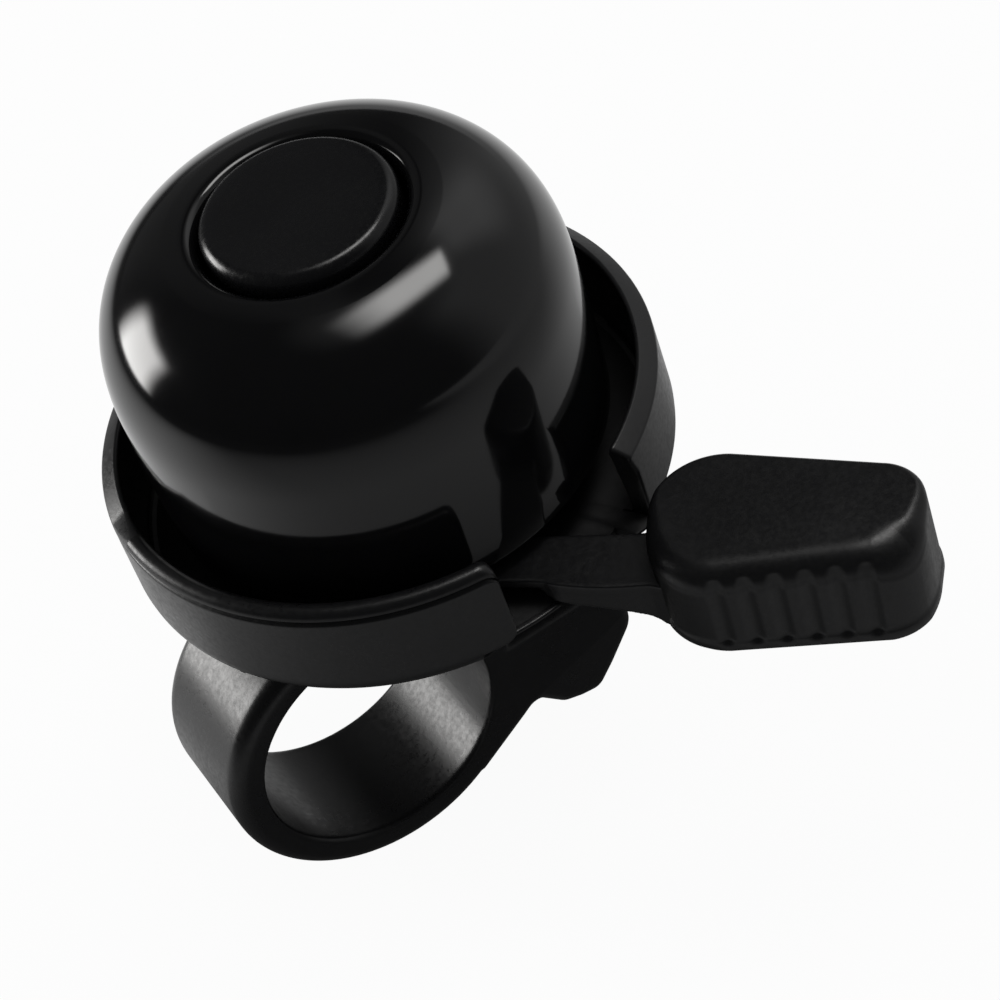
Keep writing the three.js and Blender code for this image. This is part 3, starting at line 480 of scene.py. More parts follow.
enamel = gloss_paint()
satin = moulded_plastic(
    "satin_plastic", dark=(0.003, 0.003, 0.0033), light=(0.0055, 0.0055, 0.006),
    rough=0.34, spread=0.04, grain=0.1, grain_scale=2300.0, level=0.45,
)
grainy = moulded_plastic(
    "grained_plastic", dark=(0.003, 0.003, 0.0033), light=(0.006, 0.006, 0.0065),
    rough=0.33, spread=0.03, grain=0.09, grain_scale=1900.0, level=0.45,
)
smooth_black = moulded_plastic(
    "smooth_plastic", dark=(0.0026, 0.0026, 0.003), light=(0.0045, 0.0045, 0.005),
    rough=0.25, spread=0.03, grain=0.05, grain_scale=2600.0, level=0.42,
)
matte = moulded_plastic(
    "matte_plastic", dark=(0.0025, 0.0025, 0.0028), light=(0.0045, 0.0045, 0.005),
    rough=0.55, spread=0.06, grain=0.2, grain_scale=1500.0, level=0.2,
)
steel = bright_steel("plated_steel", tone=0.56, rough=0.26, stretch=(1.0, 1.0, 8.0))
spring_steel = bright_steel("spring_steel", tone=0.5, rough=0.2, stretch=(1.0, 1.0, 1.0))
brass = machined_brass()
nylon = natural_nylon()

# Dome: a rounded shoulder over a nearly upright skirt, with a round recess in its crown.
DOME_R, DOME_WAIST, DOME_CROWN, ROUND = 19.8, 12.7, 26.9, 2.66
DOME_MOUTH, DOME_SPREAD, WALL = 19.4, 0.4, 0.9
RECESS_DEPTH, CAP_GAP, CAP_RIM, CAP_ROUND = 5.2, 0.2, 25.7, 1.15


def shoulder(gap, least, steps):
    """The dome's upper outline, moved in by gap, from the waist up to the radius least."""
    points = []
    for i in range(steps + 1):
        a = math.pi / 2 * i / steps
        r = (DOME_R - gap) * math.cos(a) ** (2 / ROUND)
        z = DOME_WAIST + (DOME_CROWN - DOME_WAIST - gap) * math.sin(a) ** (2 / ROUND)
        if r > least:
            points.append((r, z))
    return points


def shoulder_height(radius):
    return DOME_WAIST + (DOME_CROWN - DOME_WAIST) * (1 - (radius / DOME_R) ** ROUND) ** (1 / ROUND)


def skirt(gap, steps):
    """The dome's lower outline, moved in by gap, from the mouth up to the waist."""
    rows = []
    for i in range(1, steps):
        t = i / steps
        rows.append((DOME_MOUTH + DOME_SPREAD * (1 - (1 - t) ** 2) - gap, DOME_WAIST * t))
    return rows


recess_top = shoulder_height(9.6)
recess_floor = recess_top - RECESS_DEPTH
recess_under = recess_floor - WALL
lip = rounded([
    (11.6, shoulder_height(11.6)), (8.75, shoulder_height(8.75) - 0.05), (8.7, recess_top - 3.4),
], [0, 2.1, 0], 12)
dome_profile = [
    (18.62, 0.06), (18.75, 0.0), (19.2, 0.0), (19.36, 0.06), (19.41, 0.22),
    *skirt(0, 10)[1:],
    *shoulder(0, 11.7, 72),
    *lip,
    (8.7, recess_floor + 0.4), (8.6, recess_floor + 0.1), (8.35, recess_floor),
    (3.2, recess_floor), (3.1, recess_floor - 0.1), (3.1, recess_under + 0.1), (3.2, recess_under),
    (9.4, recess_under), (9.7, recess_under + 0.4),
    (9.7, recess_top - 2.9), (10.4, recess_top - 1.9), (11.2, recess_top - 1.3),
    *shoulder(WALL, 11.9, 40)[::-1],
    *skirt(WALL, 8)[::-1],
]
dome = lathe("bell_dome", dome_profile, 224, smooth_angle=50.0)
dress(dome, "base", enamel, "dome", slot_name="gloss_paint")

# Cap: satin disc with a soft rounded edge, and a socket under it that grips the screw's head.
cap_foot = recess_floor + CAP_GAP
cap_profile = [
    (7.15, cap_foot), (8.2, cap_foot), (8.3, cap_foot + 0.1), (8.3, CAP_RIM),
    *arc(7.15, CAP_RIM, CAP_ROUND, 0, 78, 12)[1:],
    (6.6, 26.845), (5.2, 26.86), (3.0, 26.87), (0.0, 26.875),
    (0.0, 25.5), (7.1, 25.5), (7.1, cap_foot + 0.05),
]
cap = lathe("bell_cap", cap_profile, 160, smooth_angle=50.0)
socket = lathe("cap_socket", [(3.85, 23.4), (4.75, 23.4), (4.75, 25.8), (3.85, 25.8)], 48)
cap = join("bell_cap", cap, socket)
dress(cap, "base", smooth_black, "dome_cap", slot_name="black_plastic")

# Cup wall: one sweep round the bell, low and wide at the back, beaded at the front.
CUP_R, CUP_IN, FLOOR_LOW, FLOOR_TOP = 24.1, 22.35, -5.6, -4.55
# Directions in degrees: the gap for the lever, the slit under the wall's flap, the notch in the floor's edge,
# and the ramp from the rear wall up to the front one.
GAP_START, GAP_END, SLIT, FRONT_START, RAMP = -95.0, -57.0, -103.0, 180.0, 10.0
NOTCH_START, NOTCH_END, NOTCH_R = -84.0, -62.0, 21.6
SLIT_HIGH = FLOOR_TOP + 0.425
WALL_CREASE = 32.0


def wall_outer_top(front):
    """The top part of the wall's outline, from its outer face over the rim to its inner face."""
    if front:
        groove = [
            (CUP_R, 3.3), (CUP_R, 3.5), (24.03, 3.62), (23.84, 3.74), (23.76, 3.84), (23.84, 3.95), (24.0, 4.05),
        ]
        return groove + arc(23.225, 4.125, 0.875, 4, 176, 15) + [(CUP_IN, 3.9)]
    rim = rounded([(CUP_R, 2.2), (CUP_R, 3.1), (CUP_IN, 4.3), (CUP_IN, 3.2)], [0, 0.3, 0.3, 0], 8)
    return [(CUP_R, z) for z in (1.2, 1.6, 1.9, 2.1)] + rim[:-1] + [(CUP_IN, 3.4)]


# Both have the same number of points, so that one can turn into the other along the ramp.
front_top, rear_top = wall_outer_top(True), wall_outer_top(False)


def wall_ring(theta):
    """The wall's closed outline at one direction, in radius and height."""
    turn = theta % 360.0
    behind = turn < FRONT_START or turn > 360.0 + GAP_END
    share = 0.0
    if not behind:
        share = 1.0
    elif FRONT_START - RAMP < turn < FRONT_START:
        share = 1.0 - (FRONT_START - turn) / RAMP
    top = [
        (a[0] * share + b[0] * (1 - share), a[1] * share + b[1] * (1 - share))
        for a, b in zip(front_top, rear_top)
    ]
    if SLIT % 360.0 < turn <= GAP_START % 360.0 + 1e-6:
        # The flap over the slit, which ends above the floor.
        low = SLIT_HIGH
        foot = [(22.45, low + 0.02), *[(22.6, low)] * 3, *[(23.2, low)] * 2, (23.8, low)]
        foot += arc(23.9, low + 0.2, 0.2, -90, 0, 6)
        heel = [(CUP_IN, low + 0.6), (CUP_IN, low + 0.4), (22.36, low + 0.2), (22.38, low + 0.1)]
    else:
        foot = [(r, FLOOR_LOW) for r in (21.2, 21.4, 21.6, 21.8, 21.9, 22.0, 22.1)]
        foot += arc(22.2, -3.7, 1.9, -90, 0, 6)
        heel = [(CUP_IN, -4.0), (22.3, -4.35), (22.1, -4.52), (21.2, -4.6)]
    side = [(CUP_R, z) for z in np.linspace(foot[-1][1] + 0.3, top[0][1] - 0.2, 6)]
    inner = [(CUP_IN, z) for z in np.linspace(top[-1][1] - 0.3, heel[0][1] + 0.3, 6)]
    return np.array(foot + side + top + inner + heel)


def corner_drop(distance, radius):
    """How far a rounded corner has fallen away at a distance from its end."""
    if distance >= radius:
        return 0.0
    return radius - math.sqrt(max(radius ** 2 - (radius - distance) ** 2, 0.0))


def cup_wall():
    edge, corner_by_slit, corner_by_pad = 0.3, 1.3, 0.6
    start, end, slit = GAP_END, 360.0 + GAP_START, SLIT % 360.0
    to_angle = math.degrees(1 / 23.2)
    # At each end: the rings' distances from it, and how far they are drawn in to round its edges.
    turns = [math.pi / 2 * k / 4 for k in range(5)]
    close = [(edge * (1 - math.cos(a)), edge * (1 - math.sin(a))) for a in turns]
    close += [(s, 0.0) for s in (0.45, 0.6, 0.8, 1.0, 1.25, 1.5)]
    between = np.arange(math.ceil(start + 4), slit - 0.5, 1.5).tolist()
    between += [FRONT_START - RAMP, FRONT_START - RAMP + 0.01, FRONT_START - 0.02, FRONT_START]
    between = sorted(between) + [slit - 0.02, slit + 0.02, *np.linspace(slit + 1, end - 1.7 * to_angle, 4)]
    thetas = [(start + s * to_angle, inward) for s, inward in close]
    thetas += [(t, 0.0) for t in between]
    thetas += [(end - s * to_angle, inward) for s, inward in reversed(close)]
    rings = []
    for theta, inward in thetas:
        ring = wall_ring(theta)
        near_end = (end - theta) / to_angle
        near_start = (theta - start) / to_angle
        for distance, radius, bottom in ((near_end, corner_by_slit, True), (near_start, corner_by_pad, False)):
            drop = corner_drop(distance, radius)
            upper = ring[:, 1] > 0.0
            if drop > 0:
                ring[upper, 1] -= drop * (ring[upper, 1] / ring[:, 1].max())
            if drop > 0 and bottom:
                ring[~upper, 1] += drop * (ring[~upper, 1] / ring[:, 1].min())
        if inward > 0:
            least, most = ring.min(axis=0), ring.max(axis=0)
            centre, half = (least + most) / 2, (most - least) / 2
            ring = centre + (ring - centre) * (half - inward) / half
        # The end by the pad leans back towards its rim.
        lean = 2.4 * max(0.0, 1 - near_start / 3.0)
        rings.append([
            (*polar(r, math.radians(theta - lean * min(1.0, max(0.0, (z - 0.9) / 3.3)))), z) for r, z in ring
        ])
    return loft("cup_wall", rings, to_bell, WALL_CREASE)


def cup_floor():
    """The floor plate. Its edge is bare between the slit and the gap's end, and inside the wall elsewhere."""
    low = -5.55
    turns = set(np.arange(-180.0, 180.0, 2.0).tolist())
    for edge in (SLIT, GAP_END, NOTCH_START, NOTCH_END):
        turns |= {edge - 0.03, edge + 0.03}
    verts, faces, rows = [(0, 0, low), (0, 0, FLOOR_TOP)], [], []
    for t in sorted(turns):
        if SLIT < t < NOTCH_START:
            reach = 22.95
        elif NOTCH_START <= t < NOTCH_END:
            reach = NOTCH_R
        elif NOTCH_END <= t < GAP_END:
            reach = 24.05 - corner_drop((t - NOTCH_END) * 0.42, 0.45)
        else:
            reach = 21.9
        under = 0.75 if reach > 22.0 else 0.0
        outline = [
            (reach * 0.6, low), (reach - 0.3 - under, low), (reach - 0.1 - under, -5.45),
            (reach - 0.8 * under, -5.1), (reach - 0.1 * under, -4.92), (reach, -4.8), (reach - 0.05, -4.64),
            (reach - 0.2, FLOOR_TOP), (reach * 0.6, FLOOR_TOP),
        ]
        rows.append(list(range(len(verts), len(verts) + len(outline))))
        verts += [(*polar(r, math.radians(t)), z) for r, z in outline]
    for i, a in enumerate(rows):
        b = rows[(i + 1) % len(rows)]
        faces.append([0, b[0], a[0]])
        faces.append([1, a[-1], b[-1]])
        for k in range(len(a) - 1):
            faces.append([a[k], b[k], b[k + 1], a[k + 1]])
    return add_object("cup_floor", verts, faces, to_bell, WALL_CREASE)


dress(cup_wall(), "base", satin, "base_body", slot_name="black_plastic")
dress(cup_floor(), "base", matte, slot_name="black_plastic")
lip_section = [
    (22.4, -4.9), (22.94, -4.84), (22.98, -4.74), (22.96, -4.66),
    (22.88, FLOOR_TOP - 0.02), (22.76, FLOOR_TOP + 0.02), (22.4, FLOOR_TOP + 0.02),
]
floor_lip = loft("floor_lip", [
    [(*polar(r, math.radians(t)), z) for r, z in lip_section]
    for t in np.linspace(SLIT + 0.6, NOTCH_START - 0.3, 24)
], to_bell, 50.0)
dress(floor_lip, "base", satin, slot_name="black_plastic")

# Posts, bosses and pegs that stand on the floor.
LEVER_LOW, LEVER_HIGH = FLOOR_TOP + 0.35, FLOOR_TOP + 2.85
HAMMER_LOW = LEVER_HIGH + 0.5
STOP_RUN, STOP_SIDE = 8.8, 2.9
POST_R, POST_BORE, POST_TOP = 4.0, 3.2, 18.28

post = lathe("centre_post", [
    (2.35, FLOOR_LOW + 0.3), (5.6, FLOOR_TOP - 0.3), (5.35, FLOOR_TOP + 0.25), (5.0, FLOOR_TOP + 0.6),
    (4.3, FLOOR_TOP + 1.6), (POST_R, FLOOR_TOP + 2.1), (POST_R, 18.03), (3.75, POST_TOP), (3.3, POST_TOP),
    (POST_BORE, 18.18), (POST_BORE, 11.3), (2.35, 11.2),
], 96)
boss_foot = [
    (0.0, FLOOR_LOW - 3.0), (2.9, FLOOR_LOW - 3.0), (3.12, FLOOR_LOW - 2.9), (3.2, FLOOR_LOW - 2.7),
    (3.2, FLOOR_LOW - 0.4),
]
lever_boss = lathe("lever_boss", [
    *boss_foot, (3.5, FLOOR_LOW + 0.1), (0.0, FLOOR_LOW + 0.4),
], 64, to_bell @ moved(*LEVER_PIVOT, 0.0))
hammer_boss = lathe("hammer_boss", [
    *boss_foot, (3.2, HAMMER_LOW - 0.5), (3.05, HAMMER_LOW - 0.32), (2.9, HAMMER_LOW - 0.3),
    (1.35, HAMMER_LOW - 0.3), (1.35, HAMMER_LOW - 1.2), (0.0, HAMMER_LOW - 1.2),
], 64, to_bell @ moved(*HAMMER_PIVOT, 0.0))
tail_turn = math.radians(LEVER_ANGLE + TAIL_ANGLE)
stop_x = LEVER_PIVOT[0] + STOP_RUN * math.cos(tail_turn) + STOP_SIDE * math.sin(tail_turn)
stop_y = LEVER_PIVOT[1] + STOP_RUN * math.sin(tail_turn) - STOP_SIDE * math.cos(tail_turn)
stop = lathe("stop_peg", [
    (0.0, FLOOR_TOP - 0.3), (1.3, FLOOR_TOP - 0.2), (1.02, FLOOR_TOP + 0.2), (1.0, LEVER_HIGH - 0.2),
    (0.8, LEVER_HIGH), (0.0, LEVER_HIGH),
], 40, to_bell @ moved(stop_x, stop_y, 0.0))
posts = join("cup_posts", post, lever_boss, hammer_boss, stop)
dress(posts, "base", matte, slot_name="black_plastic")

# Saddle and upper jaw under the floor, with the hinge's middle knuckle and the nut's slot.
jaw_low, jaw_top = 2.3, BELL[2] + FLOOR_TOP - 0.25
jaw_end = HINGE_ANGLE - 4
foot_slope = 1 / math.tan(math.radians(jaw_end))
foot_z = STRAP_RADIUS + 0.6
bore_start = math.degrees(math.asin(jaw_low / BORE))
jaw = side_slab("saddle", [
    (EAR_END, jaw_low), (EAR_END, jaw_top), (-8.6, jaw_top), (-8.6, foot_z + 1.4), (-6.6, foot_z),
    (foot_z * foot_slope, foot_z), *arc(0, 0, BORE, jaw_end, bore_start, 26),
], STRAP_WIDTH / 2, 0.45)
hollow_top, hollow_foot, hollow_end = jaw_top - 1.0, 13.3, 17.1
hollow_outline = [
    (hollow_end, hollow_top), (STRAP_RADIUS * math.cos(math.radians(70)), hollow_top),
    *arc(0, 0, STRAP_RADIUS, 70, 42, 10), (14.0, hollow_foot), (hollow_end, hollow_foot),
]
for side in (-1, 1):
    core = slab("core", hollow_outline, 1.6, 8.0, 0.3, upright)
    if side < 0:
        core.data.transform(Matrix.Scale(-1, 4, (0, 1, 0)))
    cut(jaw, core)
for low, high in ((3.0, 8.0), (-8.0, -3.0)):
    cut(jaw, bar_drum("room", KNUCKLE_ROOM, hinge_x, hinge_z, low, high))
nut_slot = [
    *arc(SCREW_X, 0, NUT_ROOM / math.sqrt(3), 120, 240, 2), (SCREW_X, -NUT_ROOM / 2),
    (27.0, -NUT_ROOM / 2), (27.0, NUT_ROOM / 2), (SCREW_X, NUT_ROOM / 2),
]
cut(jaw, loft("nut_slot", [level(nut_slot, 6.8), level(nut_slot, 10.4)]))
cut(jaw, drum("ear_hole", 2.45, 1.0, 14.0, 48, moved(SCREW_X, 0, 0)))
cut(jaw, knuckle_drum("knuckle", -3.0, 3.0), union=True)
cut(jaw, bar_drum("bore", BORE, 0, 0, -9, 9, steps=160))
soften(jaw, voxel=0.2, passes=3)
cut(jaw, bar_drum("pin_hole", PIN_HOLE, hinge_x, hinge_z, -9, 9))
dress(jaw, "base", grainy, slot_name="black_plastic")


def strap_ring():
    """The strap's band, from the hinge round under the bar to the lug."""
    half = STRAP_WIDTH / 2
    section = rounded(
        [(BORE, -half), (STRAP_RADIUS, -half), (STRAP_RADIUS, half), (BORE, half)], [0.45, 1.5, 1.5, 0.45], 8
    )
    rings = []
    for t in np.linspace(HINGE_ANGLE, 360.0 + math.degrees(math.asin(1.5 / BORE)), 150):
        a = math.radians(t)
        rings.append([(r * math.cos(a), y, r * math.sin(a)) for r, y in section])
    ring = loft("strap", rings)
    cut(ring, bar_drum("room", KNUCKLE_ROOM, hinge_x, hinge_z, -3.3, 3.3))
    fan = [(0, 0), polar(28.7, math.radians(91)), polar(28.7, math.radians(106))]
    cut(ring, loft("fan", [[(x, y, z) for x, z in fan] for y in (-3.3, 3.3)]))
    return ring


def strap_lug():
    """The block at the strap's free end that the screw goes through."""
    # The outline leaves the band on the line that touches it and runs to the neck.
    neck = (14.55, -7.8)
    flare = math.atan2(neck[1], neck[0]) - math.acos(STRAP_RADIUS / math.hypot(*neck))
    outline = rounded([
        (11.5, 0.0), polar(11.9, flare), polar(STRAP_RADIUS, flare), neck, (16.9, -10.8), (18.7, -11.6),
        (20.9, -12.1), (22.9, -9.7), (EAR_END, -5.9), (EAR_END, 1.5), (11.6, 1.5),
    ], [0, 0, 0, 0.8, 1.6, 1.6, 1.6, 2.2, 3.0, 0.2, 0], 8)
    lug = side_slab("lug", outline, STRAP_WIDTH / 2, 1.25, steps=6)
    cut(lug, drum("head_room", 4.55, -14.0, -5.0, 64, moved(SCREW_X, 0, 0)))
    cut(lug, bar_drum("bore", BORE + 0.05, 0, 0, -9, 9, steps=160))
    cut(lug, drum("hole", 2.9, -9.0, 3.0, 48, moved(SCREW_X, 0, 0)))
    return lug


def crease_lug(strap):
    """Lets the lug's faces fall back a little below a crease that runs down towards the band."""
    for vert in strap.data.vertices:
        x, y, z = (c / MM for c in vert.co)
        below = (x - 20.38) * 0.289 - (z + 5.11) * 0.957
        if below > 0 and x > 13.0 and abs(y) > 4.0:
            fall = 0.12 * below * min(1.0, (x - 13.0) / 2.0) * min(1.0, (abs(y) - 4.0) / 1.5)
            vert.co.y -= math.copysign(fall * MM, y)


# Strap: band, lug and the hinge's two outer knuckles in one moulding.
knuckles = [knuckle_drum("knuckle", low, high) for low, high in ((3.3, 6.7), (-6.7, -3.3))]
strap = join("clamp_strap_skin", strap_ring(), strap_lug(), *knuckles)
soften(strap, voxel=0.18, passes=4)
crease_lug(strap)
cut(strap, bar_drum("pin_hole", PIN_HOLE, hinge_x, hinge_z, -9, 9))
dress(strap, "strap", grainy, "clamp_strap", slot_name="black_plastic")
shade(strap, 60.0)

# Thumb lever, in its own frame: X outwards from the pivot, along the arm.
PAD_IN, PAD_OUT, HALF_IN, HALF_OUT, PAD_TOP, PAD_HEIGHT = 25.6, 48.4, 6.7, 5.1, 2.2, 9.0
CORNER_IN, CORNER_OUT = 6.0, 4.2
RIB_START, RIB_PITCH, RIBS, RIB_HALF, RIB_DEPTH, RIB_LEAN = 32.0, 2.4, 6, 0.85, 0.34, 0.1
PAD_SPLAY, ARM_DROP = 1.05, 0.9


def pad_outline():
    """The pad's outline seen from above, anticlockwise, in steps of about 0.14 mm."""
    taper = math.degrees(math.atan2(HALF_IN - HALF_OUT, PAD_OUT - PAD_IN))
    corners = [
        *arc(PAD_IN + CORNER_IN, -(HALF_IN - CORNER_IN), CORNER_IN, 180, 270 + taper, 40),
        *arc(PAD_OUT - CORNER_OUT, -(HALF_OUT - CORNER_OUT), CORNER_OUT, 270 + taper, 360, 30),
        *arc(PAD_OUT - CORNER_OUT, HALF_OUT - CORNER_OUT, CORNER_OUT, 0, 90 - taper, 30),
        *arc(PAD_IN + CORNER_IN, HALF_IN - CORNER_IN, CORNER_IN, 90 - taper, 180, 40),
    ]
    dense = []
    for i, corner in enumerate(corners):
        a, b = np.array(corner), np.array(corners[(i + 1) % len(corners)])
        parts = max(1, int(round(np.linalg.norm(b - a) / 0.14)))
        dense += [tuple(a + (b - a) * k / parts) for k in range(parts)]
    return np.array(dense)


def thumb_pad():
    """The pad's hollow cap, with a spread skirt and upright grooves in its front face."""
    base = pad_outline()
    low = PAD_TOP - PAD_HEIGHT
    inwards = inset(base, 1.0) - base
    # The top edge is rounder in front than at the back, and roundest at the outer front corner.
    front = np.clip(0.5 - base[:, 1] / 6.0, 0.0, 1.0)
    bearing = np.degrees(np.arctan2(base[:, 1] + HALF_OUT - CORNER_OUT, base[:, 0] - (PAD_OUT - CORNER_OUT)))
    corner = np.cos(np.clip((bearing + 45.0) / 65.0, -1.0, 1.0) * math.pi / 2) ** 2
    edge = 0.6 + 1.6 * front + 0.8 * corner
    # The skirt spreads forwards, and more towards the outer end.
    splay = PAD_SPLAY * np.clip((base[:, 0] - 30.0) / 15.0, 0.0, 1.0) * np.clip(-base[:, 1] / 3.0, 0.0, 1.0)
    ribbed = (base[:, 1] < 0) & (base[:, 0] > PAD_IN + 3)
    ribs = np.array([RIB_START + i * RIB_PITCH for i in range(RIBS)])
    # Stations are heights along the outline, each with how far the skin lies inside it there.
    still = np.ones(len(base))
    stations = [(still * (low + rise), still * inward) for rise, inward in (
        (0.0, 0.12), (0.08, 0.0), (0.2, -0.05), (0.75, -0.05), (0.95, 0.0), (1.1, 0.06))]
    for share in np.linspace(0.0, 1.0, 16):
        z = low + 1.4 + share * (PAD_TOP - edge - 0.1 - low - 1.4)
        stations.append((z, 0.06 + 0.1 * front * (z - low) / PAD_HEIGHT))
    for k in range(13):
        a = math.pi / 2 * k / 12
        stations.append((PAD_TOP - edge * (1 - math.sin(a)), 0.06 + 0.1 * front + edge * (1 - math.cos(a))))
    rings = []
    for z, inward in stations:
        depth = 1 - (z - low) / PAD_HEIGHT
        near = np.min(np.abs(base[:, :1] + RIB_LEAN * depth[:, None] - ribs[None, :]), axis=1)
        groove = np.where(ribbed, np.cos(np.clip(near / RIB_HALF, 0, 1) * math.pi / 2) ** 1.5, 0.0) * RIB_DEPTH
        fade = np.clip(PAD_TOP - 1.0 - z, 0.0, 1.0)
        dip = groove * np.sqrt(1 - (1 - fade) ** 2) * np.clip((z - low - 0.5) / 0.4, 0.0, 1.0)
        ring = base + inwards * (inward + dip)[:, None]
        ring[:, 1] -= splay * depth
        rings.append([(x, y, height) for (x, y), height in zip(ring, z)])
    # The top is slightly domed.
    middle = np.array([(PAD_IN + PAD_OUT) / 2, 0.0])
    outer_last = np.array(rings[-1])[:, :2]
    for share in (0.86, 0.7, 0.5, 0.3, 0.12):
        rings.append(level(middle + (outer_last - middle) * share, PAD_TOP + 0.12 - 0.16 * share ** 2))
    skin = loft("pad", rings, to_lever, 60.0)
    inner = inset(base, 1.5)
    return cut(skin, loft("hollow", [
        level(inner, low - 1.0), level(inner, PAD_TOP - 2.0), level(inset(base, 1.9), PAD_TOP - 1.6),
    ], to_lever))


def lever_works():
    """The arm, hub, neck, tail and pegs in one moulding."""
    arm_outer = PAD_IN + 2.2
    arm_back = [(arm_outer, 5.0), (27.0, 4.1), (26.3, 3.0), (25.8, 2.2), (25.2, 1.75), (24.4, 1.6)]
    thick = [*rounded([(19.0, 1.6), (19.0, -3.2), (arm_outer, -3.2)], [0, 0.3, 0], 4), *arm_back]
    thick_plate = slab("thick", thick, LEVER_LOW, LEVER_HIGH, 0.25, to_lever)
    drop = rounded([(19.4, -3.0), (arm_outer, -3.0), (arm_outer, 1.6), (26.6, 1.6)], [0.4, 0, 0, 0.4], 4)
    drop_plate = slab("drop", drop, LEVER_LOW - ARM_DROP, LEVER_LOW + 0.8, 0.25, to_lever)
    # The arm's front face: its reach forwards and its lower edge, which sweeps down into the pad.
    front_face = [
        (12.4, -2.7, -2.2), (13.4, -3.1, -2.3), (15.4, -3.15, -2.3), (16.1, -3.2, -2.45), (16.6, -3.25, -2.9),
        (16.95, -3.3, -3.6), (17.4, -3.45, -4.02), (18.2, -3.65, -4.1), (19.5, -3.86, -4.15), (20.8, -4.0, -4.3),
        (22.0, -4.06, -4.5), (23.2, -4.06, -4.85), (24.2, -4.02, -5.2), (25.1, -3.95, -5.6), (25.8, -3.95, -6.1),
        (26.4, -4.1, -6.6), (27.6, -4.4, -6.72),
    ]
    front_high = LEVER_HIGH - 0.14
    front_plate = loft("front", [
        [(u, -1.2, low), (u, v + 0.01, low), (u, v + 0.01, front_high), (u, -1.2, front_high)]
        for u, v, low in front_face
    ], to_lever)
    arm_side = [(-1.0, -3.1), (14.4, -3.1), *[(u, v) for u, v, _ in front_face if u > 15], *arm_back, (-1.0, 1.6)]
    skin_plate = slab("arm", arm_side, LEVER_HIGH - 1.0, LEVER_HIGH, 0.12, to_lever)
    hub = lathe("hub", [
        (0, LEVER_LOW), (3.95, LEVER_LOW), (4.2, LEVER_LOW + 0.25), (4.2, LEVER_HIGH - 0.25), (3.95, LEVER_HIGH),
        (0, LEVER_HIGH),
    ], 72, to_lever)
    neck = lathe("neck", [
        (0, LEVER_LOW + 0.5), (2.9, LEVER_LOW + 0.5), (2.9, LEVER_HIGH + 4.25), (2.75, LEVER_HIGH + 4.4),
        (0, LEVER_HIGH + 4.4),
    ], 64, to_lever)
    to_tail = to_lever @ turned(TAIL_ANGLE)
    tail_shape = [(0, -1.6), *arc(TAIL_LENGTH, 0, 1.6, -90, 90, 14), (0, 1.6)]
    tail = slab("tail", tail_shape, LEVER_LOW, LEVER_HIGH, 0.25, to_tail)
    tail_peg = lathe("tail_peg", [
        (0, LEVER_HIGH - 0.8), (1.0, LEVER_HIGH - 0.8), (1.0, LEVER_HIGH + 2.75), (0.85, LEVER_HIGH + 2.9),
        (0, LEVER_HIGH + 2.9),
    ], 36, to_tail @ moved(TAIL_LENGTH, 0, 0))
    spring_peg = lathe("spring_peg", [
        (0, LEVER_HIGH - 0.8), (0.8, LEVER_HIGH - 0.8), (0.8, LEVER_HIGH + 1.0), (0.7, LEVER_HIGH + 1.1),
        (0, LEVER_HIGH + 1.1),
    ], 30, to_tail @ moved(SPRING_PEG_AT, 0, 0))
    works = join("works", skin_plate, thick_plate, drop_plate, front_plate, hub, neck, tail, tail_peg, spring_peg)
    soften(works, voxel=0.14, passes=3)
    return cut(works, drum("pivot_hole", 2.2, LEVER_LOW - 2, LEVER_HIGH + 6, 64, to_lever))


lever = join("thumb_lever_skin", thumb_pad(), lever_works())
dress(lever, "lever", satin, "thumb_lever", slot_name="black_plastic")
shade(lever, 60.0)

# The springs are copied into place with a spring-steel finish, and the original nodes are hidden.
for name, moving, bend_start, bend_end in (
    ("lever_spring", "lever", (0.901, -5.804), (0.031, -4.838)),
    ("hammer_spring", "hammer", (1.903, 9.884), (0.268, 8.125)),
):
    wire = place_object(name + "_wire", nodes[name].data.copy())
    wire.data.transform(nodes[name].matrix_world)
    wire.data.materials.clear()
    wire.data.materials.append(spring_steel)
    shade(wire, 60.0)
    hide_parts(name)
    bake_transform(wire)

# Plain nodes keep their solids and get a finish.
for name, material in {
    "dome_collar": nylon, "dome_washer": steel, "dome_lock_washer": spring_steel, "dome_screw": steel,
    "post_insert": brass, "lever_thrust_washer": nylon, "lever_pivot_screw": steel,
    "hammer_arm": satin, "striker": steel, "hammer_pin": steel,
    "strap_hinge_pin": steel, "clamp_washer": steel, "clamp_screw": steel, "clamp_nut": steel,
}.items():
    mesh = nodes[name].data
    mesh.materials.clear()
    mesh.materials.append(material)


# Studio: a pale floor and backdrop, a window behind on the left and a soft strip overhead.
# The floor's gloss levels are painted light and shade: dim in front of the bell, bright behind it.
FLOOR_TONE, FLOOR_SHARE, FLOOR_PAINTED_GLOSS, FLOOR_HALF = 0.62, 0.95, (0.33, 0.85), 6.0
FILL, FILL_COLOR, LAMP_COLOR, WHITE = 0.6, (0.95, 0.97, 1.0, 1), (1.0, 0.99, 0.975), (1, 1, 1, 1)
WALL_DARK, WALL_RIGHT, WALL_CORNER, WALL_BACK, WALL_TOP = 0.03, 0.3, 0.4, 0.06, 0.15


def lit(tree, source, low, high, to_low=0.0, to_high=1.0):
    """A smooth step between two values of one number."""
    return add_node(tree, "ShaderNodeMapRange", {
        "Value": source, "From Min": low, "From Max": high, "To Min": to_low, "To Max": to_high,
    }, interpolation_type="SMOOTHSTEP").outputs["Result"]


def combined(tree, operation, a, b):
    return add_node(tree, "ShaderNodeMath", {0: a, 1: b}, operation=operation).outputs[0]


def distance(tree, place, point):
    return add_node(tree, "ShaderNodeVectorMath", {0: place, 1: point}, operation="DISTANCE").outputs["Value"]


def shining(tree, strength):
    return add_node(tree, "ShaderNodeEmission", {"Color": WHITE, "Strength": strength}).outputs["Emission"]


